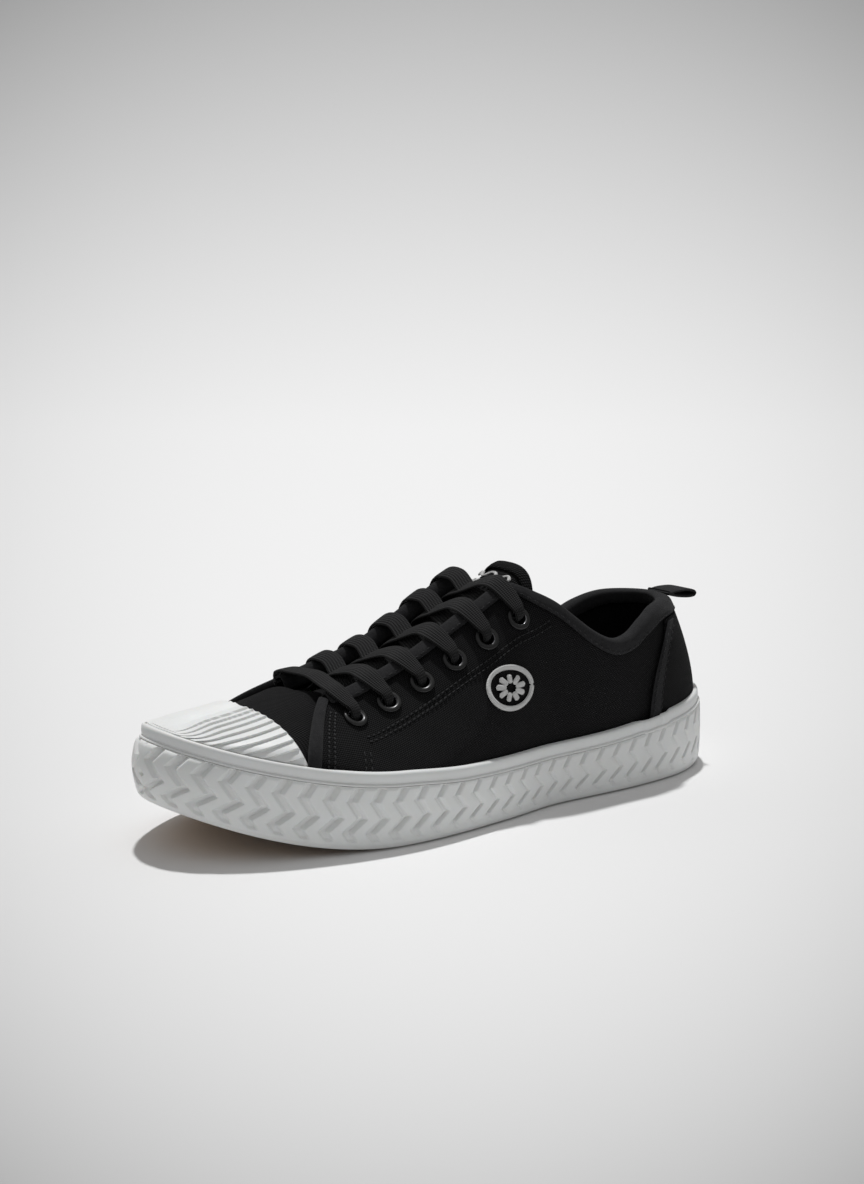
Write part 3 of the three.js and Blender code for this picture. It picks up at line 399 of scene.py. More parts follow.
# The band: a smooth strip of the same rubber over the joint of canvas and sole, with a bevelled top and
# a thin ledge below. Its two ends meet in a lap at the heel.
down = np.array([0, 0.06, 0.16, 0.3, 0.5, 0.7, 0.82, 0.86, 0.93, 1.0])
shape_out = np.array([-0.75, -0.25, 0, 0.12, 0.16, 0.12, 0.05, 0.75, 0.95, 0.75])
band_inner = laid_on(ring_t)
band_outer = np.maximum(band_inner + 0.9, 2.9)
lap = 0.35 * ((ring_side > 0) & (ring_t > 0.835))
band_out = np.concatenate([band_outer[:, None] + shape_out[None, :] + lap[:, None],
                           band_inner[:, None], band_inner[:, None]], 1)
band_low, band_high = band_top(ring_t) - 5.15, band_top(ring_t) + lap
band_z = np.concatenate([mix(band_high[:, None], band_low[:, None], down[None, :]),
                         band_low[:, None], band_high[:, None]], 1)
band_points = ring_points(band_out, band_z)
band = piece("band", band_points, quads(*band_points.shape[:2], True, True), white_rubber)
settle(band, "shoe", "rubber", "foxing_band", crease=35)

# The outsole: a thin plate of gum rubber with zigzag grooves, seen as a tan edge at the lifted toe.
# Above it are the foam midsole and the fibre board that the canvas is lasted to.
gum = Finish("gum_rubber", (0.42, 0.27, 0.15), 0.62)
grain = gum.speckle(300, 4)
gum.feed("Base Color", gum.blend(grain, (0.47, 0.31, 0.17), (0.36, 0.23, 0.13)))
gum.relief(grain, 0.0003, 0.4)
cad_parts["outsole"].data.materials.clear()
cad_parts["outsole"].data.materials.append(gum.material)

foam = Finish("sole_foam", (0.72, 0.71, 0.67), 0.85)
cells = foam.node("TexVoronoi", values={"Vector": foam.place(), "Scale": 900})
foam.feed("Base Color", foam.blend(cells, (0.62, 0.61, 0.57), (0.78, 0.77, 0.73)))
foam.relief(cells, 0.0003, 0.5)
board = Finish("fibre_board", (0.55, 0.45, 0.32), 0.9)
fibres = board.node("TexNoise", values={"Vector": board.place(), "Scale": 700, "Detail": 6})
board.feed("Base Color", board.blend(fibres, (0.02, 0.02, 0.02), (0.055, 0.054, 0.052)))
for node, finish in (("midsole", foam), ("insole_board", board), ("heel_counter", board)):
    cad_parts[node].data.materials.clear()
    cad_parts[node].data.materials.append(finish.material)

# The last: the smooth form that every layer of the upper is drawn over. Each layer is a stretch of its
# skin between two depths, in millimetres, positive outwards.
ridge_height = curve([0, 0.03, 0.07, 0.144, 0.266, 0.385, 0.5, 0.56, 0.65, 1],
                     [0, 1.5, 6.5, 14.5, 29, 41, 57.2, 64.4, 73, 80])
fullness = {1: curve([0, 0.14, 0.21, 0.27, 0.33, 0.39, 0.45, 0.51, 0.574, 0.7, 1],
                     [2, 2, 1.5, 1.12, 1.2, 1.42, 1.62, 1.81, 2.2, 2.5, 2.2]),
            -1: curve([0, 0.14, 0.21, 0.28, 0.385, 0.5, 0.574, 0.7, 1],
                      [1.45, 1.45, 1.5, 1.4, 1.55, 1.9, 2.25, 2.5, 2.2])}
topline = {1: curve([0.55, 0.6, 0.64, 0.7, 0.745, 0.79, 0.84, 0.9, 1],
                    [92, 84, 78, 66, 60.6, 61.6, 66.5, 70.4, 70.6]),
           -1: curve([0.55, 0.6, 0.64, 0.7, 0.75, 0.82, 0.88, 0.94, 1],
                     [92, 84, 78, 66, 60.6, 61, 65.5, 69.4, 70.6])}
RIDGE_RADIUS = 8


def skin(side, t, v):
    """The last's surface. Below v = 0 it is a wall on the outline; above, each section is a quarter of a
    superellipse whose top is rounded by RIDGE_RADIUS, leaning forward at the heel."""
    wide, low = half_width(side, t), band_top(t)
    up = np.clip(v, 0, 1) * np.pi / 2
    power = 2 / fullness[side](t)
    across = np.cos(up) ** power * (np.hypot(wide, RIDGE_RADIUS) - RIDGE_RADIUS) + RIDGE_RADIUS
    height = ridge_height(t) * np.sin(up) ** power
    x = np.where(v <= 0, wide, np.sqrt(np.maximum(across ** 2 - RIDGE_RADIUS ** 2, 0)))
    lean = 13 * ease(t, 0.72, 1) * (height / 38) ** 1.5
    z = low + np.where(v <= 0, v * (low - midsole_top(t) - 0.3), height)
    return np.stack([side * x, (t - 0.5) * LENGTH - lean, z], -1)


def outward(side, t, v):
    """The way the skin faces, level at the toe tip so that layers stay apart there."""
    flat, step = plan_normal(side, t), 0.004
    inside = np.clip(v, step, 1 - step)
    rise = skin(side, t, inside + step) - skin(side, t, inside - step)
    upper = ease(v, -0.3, 0.02)
    slope = np.arctan2(np.abs(rise[..., 0]), rise[..., 2]) * upper
    taper = ease(t, 0, 0.07)
    level = flat * mix(1, np.cos(slope), taper)[..., None]
    level[..., 2] = np.sin(slope) * taper
    safe = np.clip(t, step, 1 - step)
    run = skin(side, safe + step, inside) - skin(side, safe - step, inside)
    square = np.cross(run, rise) * side
    square /= np.linalg.norm(square, axis=-1, keepdims=True) + 1e-12
    tilt = (ease(t, 0.04, 0.14) * (1 - ease(t, 0.8, 0.92)))[..., None]
    return mix(level, mix(flat, square, upper[..., None]), tilt)


def on_skin(side, t, v, depth):
    """A point at a depth from the skin; the two sides meet at x = 0 on the ridge."""
    t, v, depth = np.broadcast_arrays(np.asarray(t, float), np.asarray(v, float), np.asarray(depth, float))
    point = skin(side, t, v) + outward(side, t, v) * depth[..., None]
    point[..., 0] = np.where(v > 0.999, 0, point[..., 0])
    return point


def v_at_x(side, t, x):
    """Where the skin is x millimetres from the ridge's plane."""
    reach = np.hypot(half_width(side, t), RIDGE_RADIUS) - RIDGE_RADIUS
    share = np.clip((np.hypot(x, RIDGE_RADIUS) - RIDGE_RADIUS) / np.maximum(reach, 1e-6), 0, 1)
    return np.arccos(share ** (fullness[side](t) / 2)) * 2 / np.pi


def v_at_z(side, t, z):
    """Where the skin is z millimetres above the ground."""
    share = np.clip((z - band_top(t)) / np.maximum(ridge_height(t), 1e-6), 0, 1)
    return np.arcsin(share ** (fullness[side](t) / 2)) * 2 / np.pi


def station(y):
    return np.clip(np.asarray(y, float) / LENGTH + 0.5, 0, 1)


THROAT = 60 / LENGTH


def half_gap(t):
    return 16 + 0.012 * np.maximum((t - THROAT) * LENGTH, 0)


def edge_v(side, t):
    """The quarter's upper edge: the throat's, then the topline's, with a round corner between them."""
    throat = v_at_x(side, t, half_gap(t))
    opened = mix(throat, 1.5, ease(t, 0.58, 0.7))
    top = v_at_z(side, t, topline[side](t))
    joined = 0.5 * (opened + top - np.sqrt((opened - top) ** 2 + 0.1 ** 2))
    return np.where(t < 0.5, throat, joined)


def per_millimetre(side, t, v):
    """How far v moves for one millimetre along the section."""
    near = np.clip(v, 0.01, 0.97)
    return 0.02 / np.linalg.norm(skin(side, t, near + 0.01) - skin(side, t, near - 0.01), axis=-1)


def arc_map(points):
    """Distances along the grid both ways, in millimetres, for a pattern that follows the cloth."""
    down = np.linalg.norm(np.diff(points, axis=1), axis=-1)
    down = np.concatenate([np.zeros((len(points), 1)), np.cumsum(down, 1)], 1)
    along = np.linalg.norm(np.diff(points, axis=0), axis=-1).mean(1)
    along = np.concatenate([[0], np.cumsum(along)])[:, None] + 0 * down
    return np.stack([along, down], -1)


def plate(name, outer, inner, finish, tip=False, drop=None, both_ways=False):
    """A layer between two grids of points, closed along its rims. tip leaves the first rim to the merge,
    and drop marks points to leave a hole round."""
    rows, columns = outer.shape[:2]
    top = quads(rows, columns)
    total = rows * columns
    index = np.arange(total).reshape(rows, columns)
    rims = [index[:, 0], index[:, -1][::-1], index[-1]] + ([] if tip else [index[0][::-1]])
    if drop is not None:
        gone = drop.ravel()[top].any(1)
        top = top[~gone]
    sides = []
    if drop is None:
        for rim in rims:
            sides.append(np.stack([rim[:-1], rim[1:], rim[1:] + total, rim[:-1] + total], -1))
    else:
        edges = np.sort(np.concatenate([top[:, [0, 1]], top[:, [1, 2]], top[:, [2, 3]], top[:, [3, 0]]]), 1)
        single, count = np.unique(edges, axis=0, return_counts=True)
        open_edges = single[count == 1]
        sides.append(np.stack([open_edges[:, 0], open_edges[:, 1], open_edges[:, 1] + total,
                               open_edges[:, 0] + total], -1))
    faces = np.concatenate([top, top[:, ::-1] + total, *sides])
    uv = arc_map(outer)
    points = np.concatenate([outer.reshape(-1, 3), inner.reshape(-1, 3)]) / 1000
    made = piece(name, points, faces, finish, np.concatenate([uv.reshape(-1, 2)] * 2))
    if drop is not None:
        loose = bmesh.new()
        loose.from_mesh(made.data)
        bmesh.ops.delete(loose, geom=[v for v in loose.verts if not v.link_faces], context="VERTS")
        loose.to_mesh(made.data)
        loose.free()
    return made


# The canvas: black cotton in a plain weave, for the vamp, the two quarters and the heel patch. It is
# cut flat, sewn, and pulled over the last.
def woven(name, colour, light, pitch, depth, roughness=0.88):
    """Over-and-under threads: sin(2 pi a / pitch) sin(2 pi b / pitch), with loose fibres on top."""
    cloth = Finish(name, colour, roughness, sheen_weight=0.015, sheen_roughness=0.5, specular_ior_level=0.08)
    a, b = cloth.across_and_along()
    turns = 2 * np.pi / pitch
    over = ((a + b) * turns * 0.5).sine() * ((a - b) * turns).sine()
    fibre = cloth.speckle(2600, 3, 0.7)
    patchy = cloth.speckle(45, 3)
    height = over * 0.5 + 0.5
    # Painted shade: the colour is darker down between the threads and lighter on their crowns; the loose
    # fibres and patches are the cloth's own tone.
    painted_shade_and_tone = height ** 2 * 0.55 + (fibre > 0.64) * 0.35 + patchy * 0.1
    cloth.feed("Base Color", cloth.blend(painted_shade_and_tone, colour, light))
    cloth.feed("Roughness", fibre * 0.12 + roughness - 0.06)
    cloth.relief(height + fibre * 0.5, depth, 0.75)
    return cloth


canvas = woven("canvas", (0.0015, 0.0015, 0.0015), (0.048, 0.048, 0.05), 1.35, 0.0008)
twill = woven("lining_twill", (0.004, 0.004, 0.004), (0.014, 0.014, 0.015), 1.3, 0.0002, 0.93)


def quarter_front(share):
    """Station of the quarter's front edge, leaning forward on its way down."""
    return THROAT - 19 / LENGTH * (1 - share ** 2.6)


def side_grid(side, front, back, low, down, rows, columns):
    """(t, v) over one side, from front(share) to back and from low up to the edge less down millimetres."""
    share = np.linspace(0, 1, columns)[None, :]
    u = np.linspace(0, 1, rows)[:, None]
    angle = mix(np.arccos(1 - 2 * front(share)), np.arccos(1 - 2 * back), u)
    t = (1 - np.cos(angle)) / 2
    top = edge_v(side, t)
    top = top - down * per_millimetre(side, t, top)
    return t, mix(low, top, share)


def keep_off(points, side):
    """Holds a side's points off the middle plane, where the two sides are seamed."""
    points[..., 0] = side * np.maximum(side * points[..., 0], 0.15)
    return points


def eyelet_seat(side, k):
    """Centre, axis and the way to the throat's edge at the k-th eyelet."""
    t = np.array(THROAT + (8 + 15.1 * k) / LENGTH)
    v = v_at_x(side, t, half_gap(t) + 10.6)
    axis = outward(side, t, v)
    axis /= np.linalg.norm(axis)
    towards = skin(side, t, v + 0.01) - skin(side, t, v)
    towards -= axis * (towards @ axis)
    return skin(side, t, v), axis, towards / np.linalg.norm(towards)


def near_eyelets(side, points, radius):
    """True for points of the throat's edge that are within radius of an eyelet's axis."""
    hit = np.zeros(points.shape[:-1], bool)
    for k in range(6):
        centre, axis, _ = eyelet_seat(side, k)
        off = points - centre
        square = off - (off @ axis)[..., None] * axis
        hit |= np.linalg.norm(square, axis=-1) < radius
    return hit


def folds(t, v):
    """Slight waves in the cloth where the foot bends it, under half a millimetre."""
    return 0.22 * np.sin(t * 61 + v * 7) * np.sin(v * 9 + t * 17) * ease(v, 0.05, 0.3)


def fold_section(leg, outside, inside, round_by, count=9):
    """A folded tape's section as (down, depth): up the outer leg, over a round fold, down the inner leg
    and back along its own thickness."""
    turn = np.linspace(0, np.pi, count)
    middle, half = (outside + inside) / 2, (outside - inside) / 2
    fold = np.stack([-round_by * np.sin(turn), middle + half * np.cos(turn)], -1)
    core = np.stack([-(round_by - 0.8) * np.sin(turn[::-1]), middle + (half - 0.8) * np.cos(turn[::-1])], -1)
    legs = [[leg, outside - 0.55], [leg - 0.5, outside], [leg * 0.5, outside + 0.15]]
    back = [[leg * 0.5, inside - 0.1], [leg - 0.4, inside], [leg, inside + 0.5]]
    return np.array([*legs, *fold, *back, [leg, inside + 0.8], *core, [leg, outside - 0.8]])


NAMES = {1: "lateral", -1: "medial"}
for side in (1, -1):
    t, v = side_grid(side, quarter_front, 1.0, -0.5, 0, 330, 116)
    outer = keep_off(on_skin(side, t, v, folds(t, v)), side)
    inner_face = keep_off(on_skin(side, t, v, -1.0), side)
    quarter = plate(f"quarter_{NAMES[side]}_canvas", outer, inner_face, canvas,
                    drop=near_eyelets(side, outer, 3.1))
    settle(quarter, "shoe", "canvas", f"quarter_{NAMES[side]}")


# The quarter's front edge is bound with the same felted tape as the topline, round the corner of the
# throat and down to the sole.
def front_edge(side):
    """A folded tape along the front edge: rows from the sole up, sections as (back, depth)."""
    section = fold_section(3.6, 1.15, -1.5, 1.0)
    share = np.linspace(0.06, 0.985, 80)[:, None]
    t, v = quarter_front(share), mix(-0.12, edge_v(side, quarter_front(share)), share)
    step = per_millimetre(side, t, v)
    run, rise = np.gradient(t[:, 0])[:, None] * LENGTH, np.gradient(v[:, 0])[:, None] / step
    length = np.hypot(run, rise)
    t = t + section[None, :, 0] * rise / length / LENGTH
    v = v - section[None, :, 0] * run / length * step
    return on_skin(side, t, v, section[None, :, 1] + 0 * t)


def toe_grid(back, rows, columns, low=-0.12, front=0.0):
    """Both sides over the ridge, from front, by the toe tip, to back(v): sides, t and v."""
    across = np.linspace(-1, 1, columns)[None, :]
    v = low + (1 - low) * (1 - np.abs(across))
    u = np.linspace(0, 1, rows)[:, None] ** 1.3
    return across + 0 * u, front + (back(v) - front) * u, v + 0 * u


def toe_points(across, t, v, depth):
    depth = depth + 0 * t
    return np.where((across < 0)[..., None], on_skin(-1, t, v, depth), on_skin(1, t, v, depth))


def vamp_back(v):
    aside = ease(1 - v, 0.25, 0.62)
    return (56 + 5.5 * aside - 15 * ease(0.55 - v, 0, 0.9)) / LENGTH


across, t, v = toe_grid(vamp_back, 90, 150, front=0.035)
vamp_face = toe_points(across, t, v, -1.6 + folds(t, v) * 0.6)
vamp = plate("vamp_canvas", vamp_face, toe_points(across, t, v, -2.6), canvas)
settle(vamp, "shoe", "canvas", "vamp")

# The linings: black cotton twill inside the vamp and quarters, with a facing that backs the eyelets.
across, t, v = toe_grid(vamp_back, 40, 80, front=0.045)
vamp_lining = plate("vamp_inside", toe_points(across, t, v, -3.2), toe_points(across, t, v, -3.8), twill)
settle(vamp_lining, "shoe", "lining", "vamp_lining")
for side in (1, -1):
    t, v = side_grid(side, lambda share: THROAT + 0.025 + 0 * share, 1.0, -0.2, 0, 220, 80)
    outer = keep_off(on_skin(side, t, v, -2.8), side)
    back = keep_off(on_skin(side, t, v, -3.4), side)
    quarter_lining = plate(f"quarter_{NAMES[side]}_inside", outer, back, twill,
                           drop=near_eyelets(side, outer, 3.3))
    settle(quarter_lining, "shoe", "lining", f"lining_{NAMES[side]}")
    last_eyelet = THROAT + 83.5 / LENGTH
    t, v = side_grid(side, lambda share: THROAT + 0.014 + 0 * share, last_eyelet + 7 / LENGTH, 0, 0, 130, 40)
    top = edge_v(side, t)
    v = mix(top - 23 * per_millimetre(side, t, top), top, np.linspace(0, 1, 40)[None, :])
    outer = on_skin(side, t, v, -1.6)
    facing = plate(f"facing_{NAMES[side]}_cloth", outer, on_skin(side, t, v, -2.2), twill,
                   drop=near_eyelets(side, outer, 3.3))
    settle(facing, "shoe", "lining", f"facing_{NAMES[side]}")

# The toe cap: a moulded white rubber shell over the front of the vamp. Ribs like shingles fan back from
# the toe, each with a crisp lower edge, to an arched rear rim.
RIBS = 11


def cap_back(v):
    return (35.5 + 4.9 * (1 - np.clip(v, 0, 1)) ** 1.5) / LENGTH


across, t, v = toe_grid(cap_back, 130, 372)
share = t / cap_back(v)
turn = RIBS * (1 - ((1 - np.clip(v, 0, 1)) * share ** 0.59) ** 0.75)
tooth = 1 - (turn % 1)
shingle = tooth ** 1.2 * (1 - ease(tooth, 0.94, 1.0)) * 1.0
shingle *= ease(share, 0.03, 0.12) * (1 - ease(share, 0.97, 0.99))
shingle *= ease(v, -0.02, 0.02) * (1 - ease(v, 0.985, 1.0))
thin = 1 - 0.9 * ease(share, 0.985, 1.0)
foot = 1.25 * (1 - ease(v, -0.06, 0.0))  # where the band grips it
cap_face = toe_points(across, t, v, -1.0 + 1.55 * thin + shingle + foot)
cap = plate("toe_cap_rubber", cap_face, toe_points(across, t, v, -1.0), white_rubber, tip=True)
settle(cap, "shoe", "rubber", "toe_cap", crease=30)

# The heel patch: a second layer of canvas round the heel, edged at each side with a strip that is
# sewn down in two rows.
def patch_front(share):
    return (79 + 24 * share ** 3.2) / LENGTH + 0.5


def heel_points(depth, rows=160, columns=60, down=5.4, low=-0.5):
    """Round the heel from one side's front edge to the other's, at a depth."""
    share = np.linspace(0, 1, columns)[None, :]
    halves = []
    for side in (1, -1):
        reach = np.linspace(0, 1, rows)[:, None]
        angle = mix(np.arccos(1 - 2 * patch_front(share)), np.pi, reach)
        t = (1 - np.cos(angle)) / 2
        top = edge_v(side, t)
        top = top - down * per_millimetre(side, t, top)
        halves.append(on_skin(side, t, mix(low, top, share), depth))
    return np.concatenate([halves[0], halves[1][::-1][1:]])


patch = plate("heel_patch_canvas", heel_points(1.4), heel_points(0.6), canvas)
settle(patch, "shoe", "canvas", "heel_patch")

felt = Finish("felted_tape", (0.012, 0.012, 0.0125), 0.95, sheen_weight=0.06, sheen_roughness=0.45,
              specular_ior_level=0.08)
nap = felt.speckle(1500, 5, 0.75)
clumps = felt.speckle(260, 3)
felt.feed("Base Color", felt.blend(nap * 0.6 + clumps * 0.4, (0.008, 0.008, 0.0085), (0.044, 0.044, 0.046)))
felt.relief(nap + clumps * 0.5, 0.0005, 0.8)
for side in (1, -1):
    share = np.linspace(0, 1, 70)[None, :]
    u = np.linspace(0, 1, 14)[:, None]
    t = np.minimum(patch_front(share) + (0.3 + 7.0 * u) / LENGTH, 0.985)
    top = edge_v(side, t)
    v = mix(-0.12, top - 6.2 * per_millimetre(side, t, top), share)
    crown = 2.0 + 0.8 * (1 - (2 * u - 1) ** 4) + 0 * share
    strip_back = on_skin(side, t, v, 2.0 + 0 * crown)
    trim = plate(f"heel_strip_{NAMES[side]}", on_skin(side, t, v, crown), strip_back, felt)
    settle(trim, "shoe", "tape", f"heel_trim_{NAMES[side]}")

# The binding: a soft felted tape folded over the throat's edge and the topline, rolled round at the top
# and sewn through both legs.
tape_t = np.concatenate([np.linspace(THROAT + 0.006, 0.54, 90), np.linspace(0.54, 0.86, 130)[1:],
                         round_stations(70, 0.86, 1)[1:]])


def swept(points):
    """Faces of a closed section carried along a row of places, with a flat face at each end."""
    rows, columns = points.shape[:2]
    first = np.arange(columns)
    return [*quads(rows, columns, False, True), first, first + (rows - 1) * columns]


def edge_sweep(side, section, t):
    """Carries (down, depth) along the upper edge."""
    top = edge_v(side, t)
    scale = per_millimetre(side, t, top)
    v = np.minimum(top[:, None] - section[None, :, 0] * scale[:, None], 0.995)
    return on_skin(side, t[:, None] + 0 * v, v, section[None, :, 1] + 0 * v)


for side in (1, -1):
    rim_points = front_edge(side)
    rim = piece(f"front_tape_{NAMES[side]}", rim_points / 1000, swept(rim_points), felt, arc_map(rim_points))
    settle(rim, "shoe", "tape", crease=50)

tape_section = fold_section(4.6, 1.8, -5.0, 2.1)
lateral_tape, medial_tape = edge_sweep(1, tape_section, tape_t), edge_sweep(-1, tape_section, tape_t)
tape_points = np.concatenate([lateral_tape, medial_tape[::-1][1:]])
binding = piece("binding_tape", tape_points / 1000, swept(tape_points), felt, arc_map(tape_points))
settle(binding, "shoe", "tape", "topline_binding", crease=50)

# The eyelets: twelve pressed rings, enamelled black, with the bright metal showing where the lace has
# rubbed the inner lip. Each is rolled over outside and clinched inside.
enamel = Finish("black_enamel", (0.006, 0.006, 0.006), 0.32)
worn, _ = enamel.across_and_along()
scratch = enamel.speckle(900, 4)
bright = ((worn + scratch * 0.25) > 0.98)
enamel.feed("Base Color", enamel.blend(bright, (0.006, 0.006, 0.006), (0.5, 0.5, 0.52)))
enamel.feed("Metallic", bright)
enamel.feed("Roughness", scratch * 0.2 + 0.2)


def ring_profile():
    """Half section of an eyelet as (radius, height): a round outer lip, a barrel and a clinched foot."""
    turn = np.linspace(0, np.pi, 10)
    lip = np.stack([3.7 + 1.05 * np.cos(turn), 1.08 + 0.6 * np.sin(turn)], -1)
    barrel = [[2.7, 0.6], [2.7, -4.9], [4.2, -4.9], [4.2, -4.3], [3.2, -4.15]]
    return np.concatenate([[[3.2, 1.0]], lip, barrel])


profile = ring_profile()
rub = np.concatenate([[0], np.zeros(6), [0.7, 0.9, 1.0, 1.0], [1.0, 0.2, 0, 0, 0]])[:len(profile)]
turn = np.linspace(0, 2 * np.pi, 41)[:-1]
for side in (1, -1):
    for k in range(6):
        centre, axis, towards = eyelet_seat(side, k)
        other = np.cross(towards, axis)
        points = (centre + profile[None, :, :1] * (np.cos(turn)[:, None, None] * towards
                                                   + np.sin(turn)[:, None, None] * other)
                  + profile[None, :, 1:] * axis)
        uv = np.stack([np.broadcast_to(rub, points.shape[:2]), np.zeros(points.shape[:2])], -1)
        faces = quads(40, len(profile), True, True)
        ring = piece(f"eyelet_ring_{NAMES[side]}_{k + 1}", points / 1000, faces, enamel, uv)
        settle(ring, "shoe", "enamel", f"eyelet_{NAMES[side]}_{k + 1}", crease=50)

# The tongue: canvas over a pad of foam with a twill back, bound at its top edge and sewn to the vamp.
# It is domed between the eyelet rows, and its free end stands up clear of the throat.
LACE_UNDER, TONGUE_DEPTH = -6.85, -9.25
TONGUE_ROOT, TONGUE_TIP = -LENGTH / 2 + 60 - 11, -LENGTH / 2 + 60 + 83.5 + 14.5


def over(x, y, depth):
    """A place by its distance from the ridge, along the sole and in depth."""
    x, y, depth = np.broadcast_arrays(np.asarray(x, float), np.asarray(y, float), np.asarray(depth, float))
    t = station(y)

    def half(side):
        return on_skin(side, t, np.where(np.abs(x) < 1e-9, 1.0, v_at_x(side, t, np.abs(x))), depth)

    return np.where((x < 0)[..., None], half(-1), half(1))


def on_tongue(across, up, depth):
    """across is -1 to 1 and up 0 to 1 from root to tip. Half width, dome and lift ease in along it."""
    y = mix(TONGUE_ROOT, TONGUE_TIP, up)
    half = mix(15, 26, ease(up, 0, 0.5))
    domed = 1.3 * (1 - across ** 2) * ease(up, 0.2, 0.34)
    stands = (2 - 5 * across ** 2) * ease(up, 0.82, 1)
    seat = mix(-4.4, TONGUE_DEPTH, ease(up, 0.08, 0.19))
    return over(across * half, y, seat + domed + stands + depth)


def pad(rows, columns, top, bottom, start=0.0, stop=1.0, half=1.0):
    """A pad's outer and inner faces, drawn together along its edges: fullness (1 - a^8)(1 - e^8)."""
    across = half * np.linspace(-1, 1, columns)[None, :]
    up = np.linspace(start, stop, rows)[:, None]
    full = (1 - np.abs(across / half) ** 8) * (1 - np.abs(2 * (up - start) / (stop - start) - 1) ** 14)
    middle = (top + bottom) / 2
    return (on_tongue(across, up, mix(middle, top, full)), on_tongue(across, up, mix(middle, bottom, full)))


across, up = np.linspace(-1, 1, 60)[None, :], np.linspace(0, 1, 120)[:, None]
tongue_shell = plate("tongue_canvas", on_tongue(across, up, 0.0), on_tongue(across, up, -0.8), canvas)
settle(tongue_shell, "tongue", "canvas", "tongue_shell")
outer, inner_face = pad(90, 46, -1.2, -4.8, stop=0.985, half=0.985)
tongue_pad = plate("tongue_pad", outer, inner_face, twill)
settle(tongue_pad, "tongue", "lining", "tongue_foam", "tongue_lining")

tip_section = fold_section(4.6, 1.5, -5.9, 1.5)
per = 1 / (TONGUE_TIP - TONGUE_ROOT)
across = np.linspace(-0.97, 0.97, 60)[:, None]
tip_points = on_tongue(across + 0 * tip_section[None, :, 0], 1 - tip_section[None, :, 0] * per + 0 * across,
                       tip_section[None, :, 1] + 0 * across)
tongue_tape = piece("tongue_edge", tip_points / 1000, swept(tip_points), canvas, arc_map(tip_points))
settle(tongue_tape, "tongue", "tape", "tongue_binding", crease=50)

thread = Finish("white_thread", (0.80, 0.80, 0.78), 0.7, sheen_weight=0.2)
u, w = thread.across_and_along()
strand = (u * (2 * np.pi / 0.55)).sine() * 0.5 + 0.5
fluff = thread.speckle(1800, 4)
# Painted shade: the colour is darker in the grooves between the twisted strands and lighter on their crowns;
# the fluff is the thread's own tone.
thread.feed("Base Color", thread.blend(strand * 0.5 + fluff * 0.5, (0.74, 0.74, 0.73), (0.95, 0.95, 0.94)))
thread.relief(strand + fluff * 0.6, 0.00035, 0.9)


def cord_along(path, radius, sides=8, flat=1.0, up=None):
    """A round or flattened cord carried along a path, closed at both ends with a drawn-in cap. Its section
    is radius across and radius times flat along up."""
    run = np.gradient(path, axis=0)
    run /= np.linalg.norm(run, axis=1, keepdims=True)
    up = np.broadcast_to(up, path.shape)
    wide = np.cross(run, up)
    wide /= np.linalg.norm(wide, axis=1, keepdims=True)
    lift = np.cross(wide, run)
    size = np.ones(len(path)) * radius
    size[[0, -1]] *= 0.45
    turn = np.linspace(0, 2 * np.pi, sides + 1)[:-1]
    points = (path[:, None] + size[:, None, None] * (np.cos(turn)[:, None] * wide[:, None]
              + flat * np.sin(turn)[:, None] * lift[:, None]))
    faces = [list(face) for face in quads(len(path), sides, False, True)]
    faces += [list(range(sides)), list(range((len(path) - 1) * sides, len(path) * sides))]
    along = np.concatenate([[0], np.cumsum(np.linalg.norm(np.diff(path, axis=0), axis=1))])
    uv = np.stack(np.broadcast_arrays(along[:, None], turn[None, :]), -1)
    return points, faces, uv


def gather(parts):
    """Joins many small meshes' arrays into one."""
    points, faces, uvs, base = [], [], [], 0
    for one, some, uv in parts:
        points.append(one.reshape(-1, 3))
        uvs.append(uv.reshape(-1, 2))
        faces += [[i + base for i in face] for face in some]
        base += len(points[-1])
    return np.concatenate(points), faces, np.concatenate(uvs)


wave = np.linspace(0, 1, 60)
wavy = on_tongue(mix(-0.46, 0.46, wave), 0.922 + 0.013 * np.sin(wave * 5 * np.pi), 1.15)
label_parts = [cord_along(wavy, 0.75, 6, 0.7, (0, 0, 1.0))]
for place in np.linspace(-0.42, 0.42, 8):
    bar = on_tongue(place, np.linspace(0.862, 0.893, 8), 1.05)
    label_parts.append(cord_along(bar, 0.7, 6, 0.7, (0, 0, 1.0)))
points, faces, uv = gather(label_parts)
label = piece("tongue_stitching", points / 1000, faces, thread, uv)
settle(label, "tongue", "thread", "tongue_label")

# The lace: one flat braid of black cotton. It starts as a bar across the front, goes down through each
# eyelet, comes up from under the other edge, and its ends hang inside with a moulded tip on each.
braid = Finish("black_braid", (0.012, 0.012, 0.013), 0.85, sheen_weight=0.03, specular_ior_level=0.12)
u, w = braid.across_and_along()
rib = (w * (2 * np.pi / 1.15)).sine()
slant = ((u * 1.25 + w * 0.9) * np.pi).sine() * ((u * 1.25 - w * 0.9) * np.pi).sine()
hair = braid.speckle(2500, 3)
knit = slant * 0.5 + rib * 0.3 + 0.5
# Painted shade: the colour is darker in the braid's hollows and lighter on its ridges, following its relief;
# the hairs are the braid's own tone.
braid.feed("Base Color", braid.blend(knit * 0.7 + hair * 0.3, (0.003, 0.003, 0.003), (0.042, 0.042, 0.043)))
braid.relief(knit + hair * 0.4, 0.00045, 0.9)


def throat_way(y):
    """The direction of the throat's edge, in the plane of the ridge."""
    way = over(16, y + 4, 0) - over(16, y - 4, 0)
    way[..., 0] = 0
    return way / np.linalg.norm(way, axis=-1, keepdims=True)


LACE_OVER = 3.1


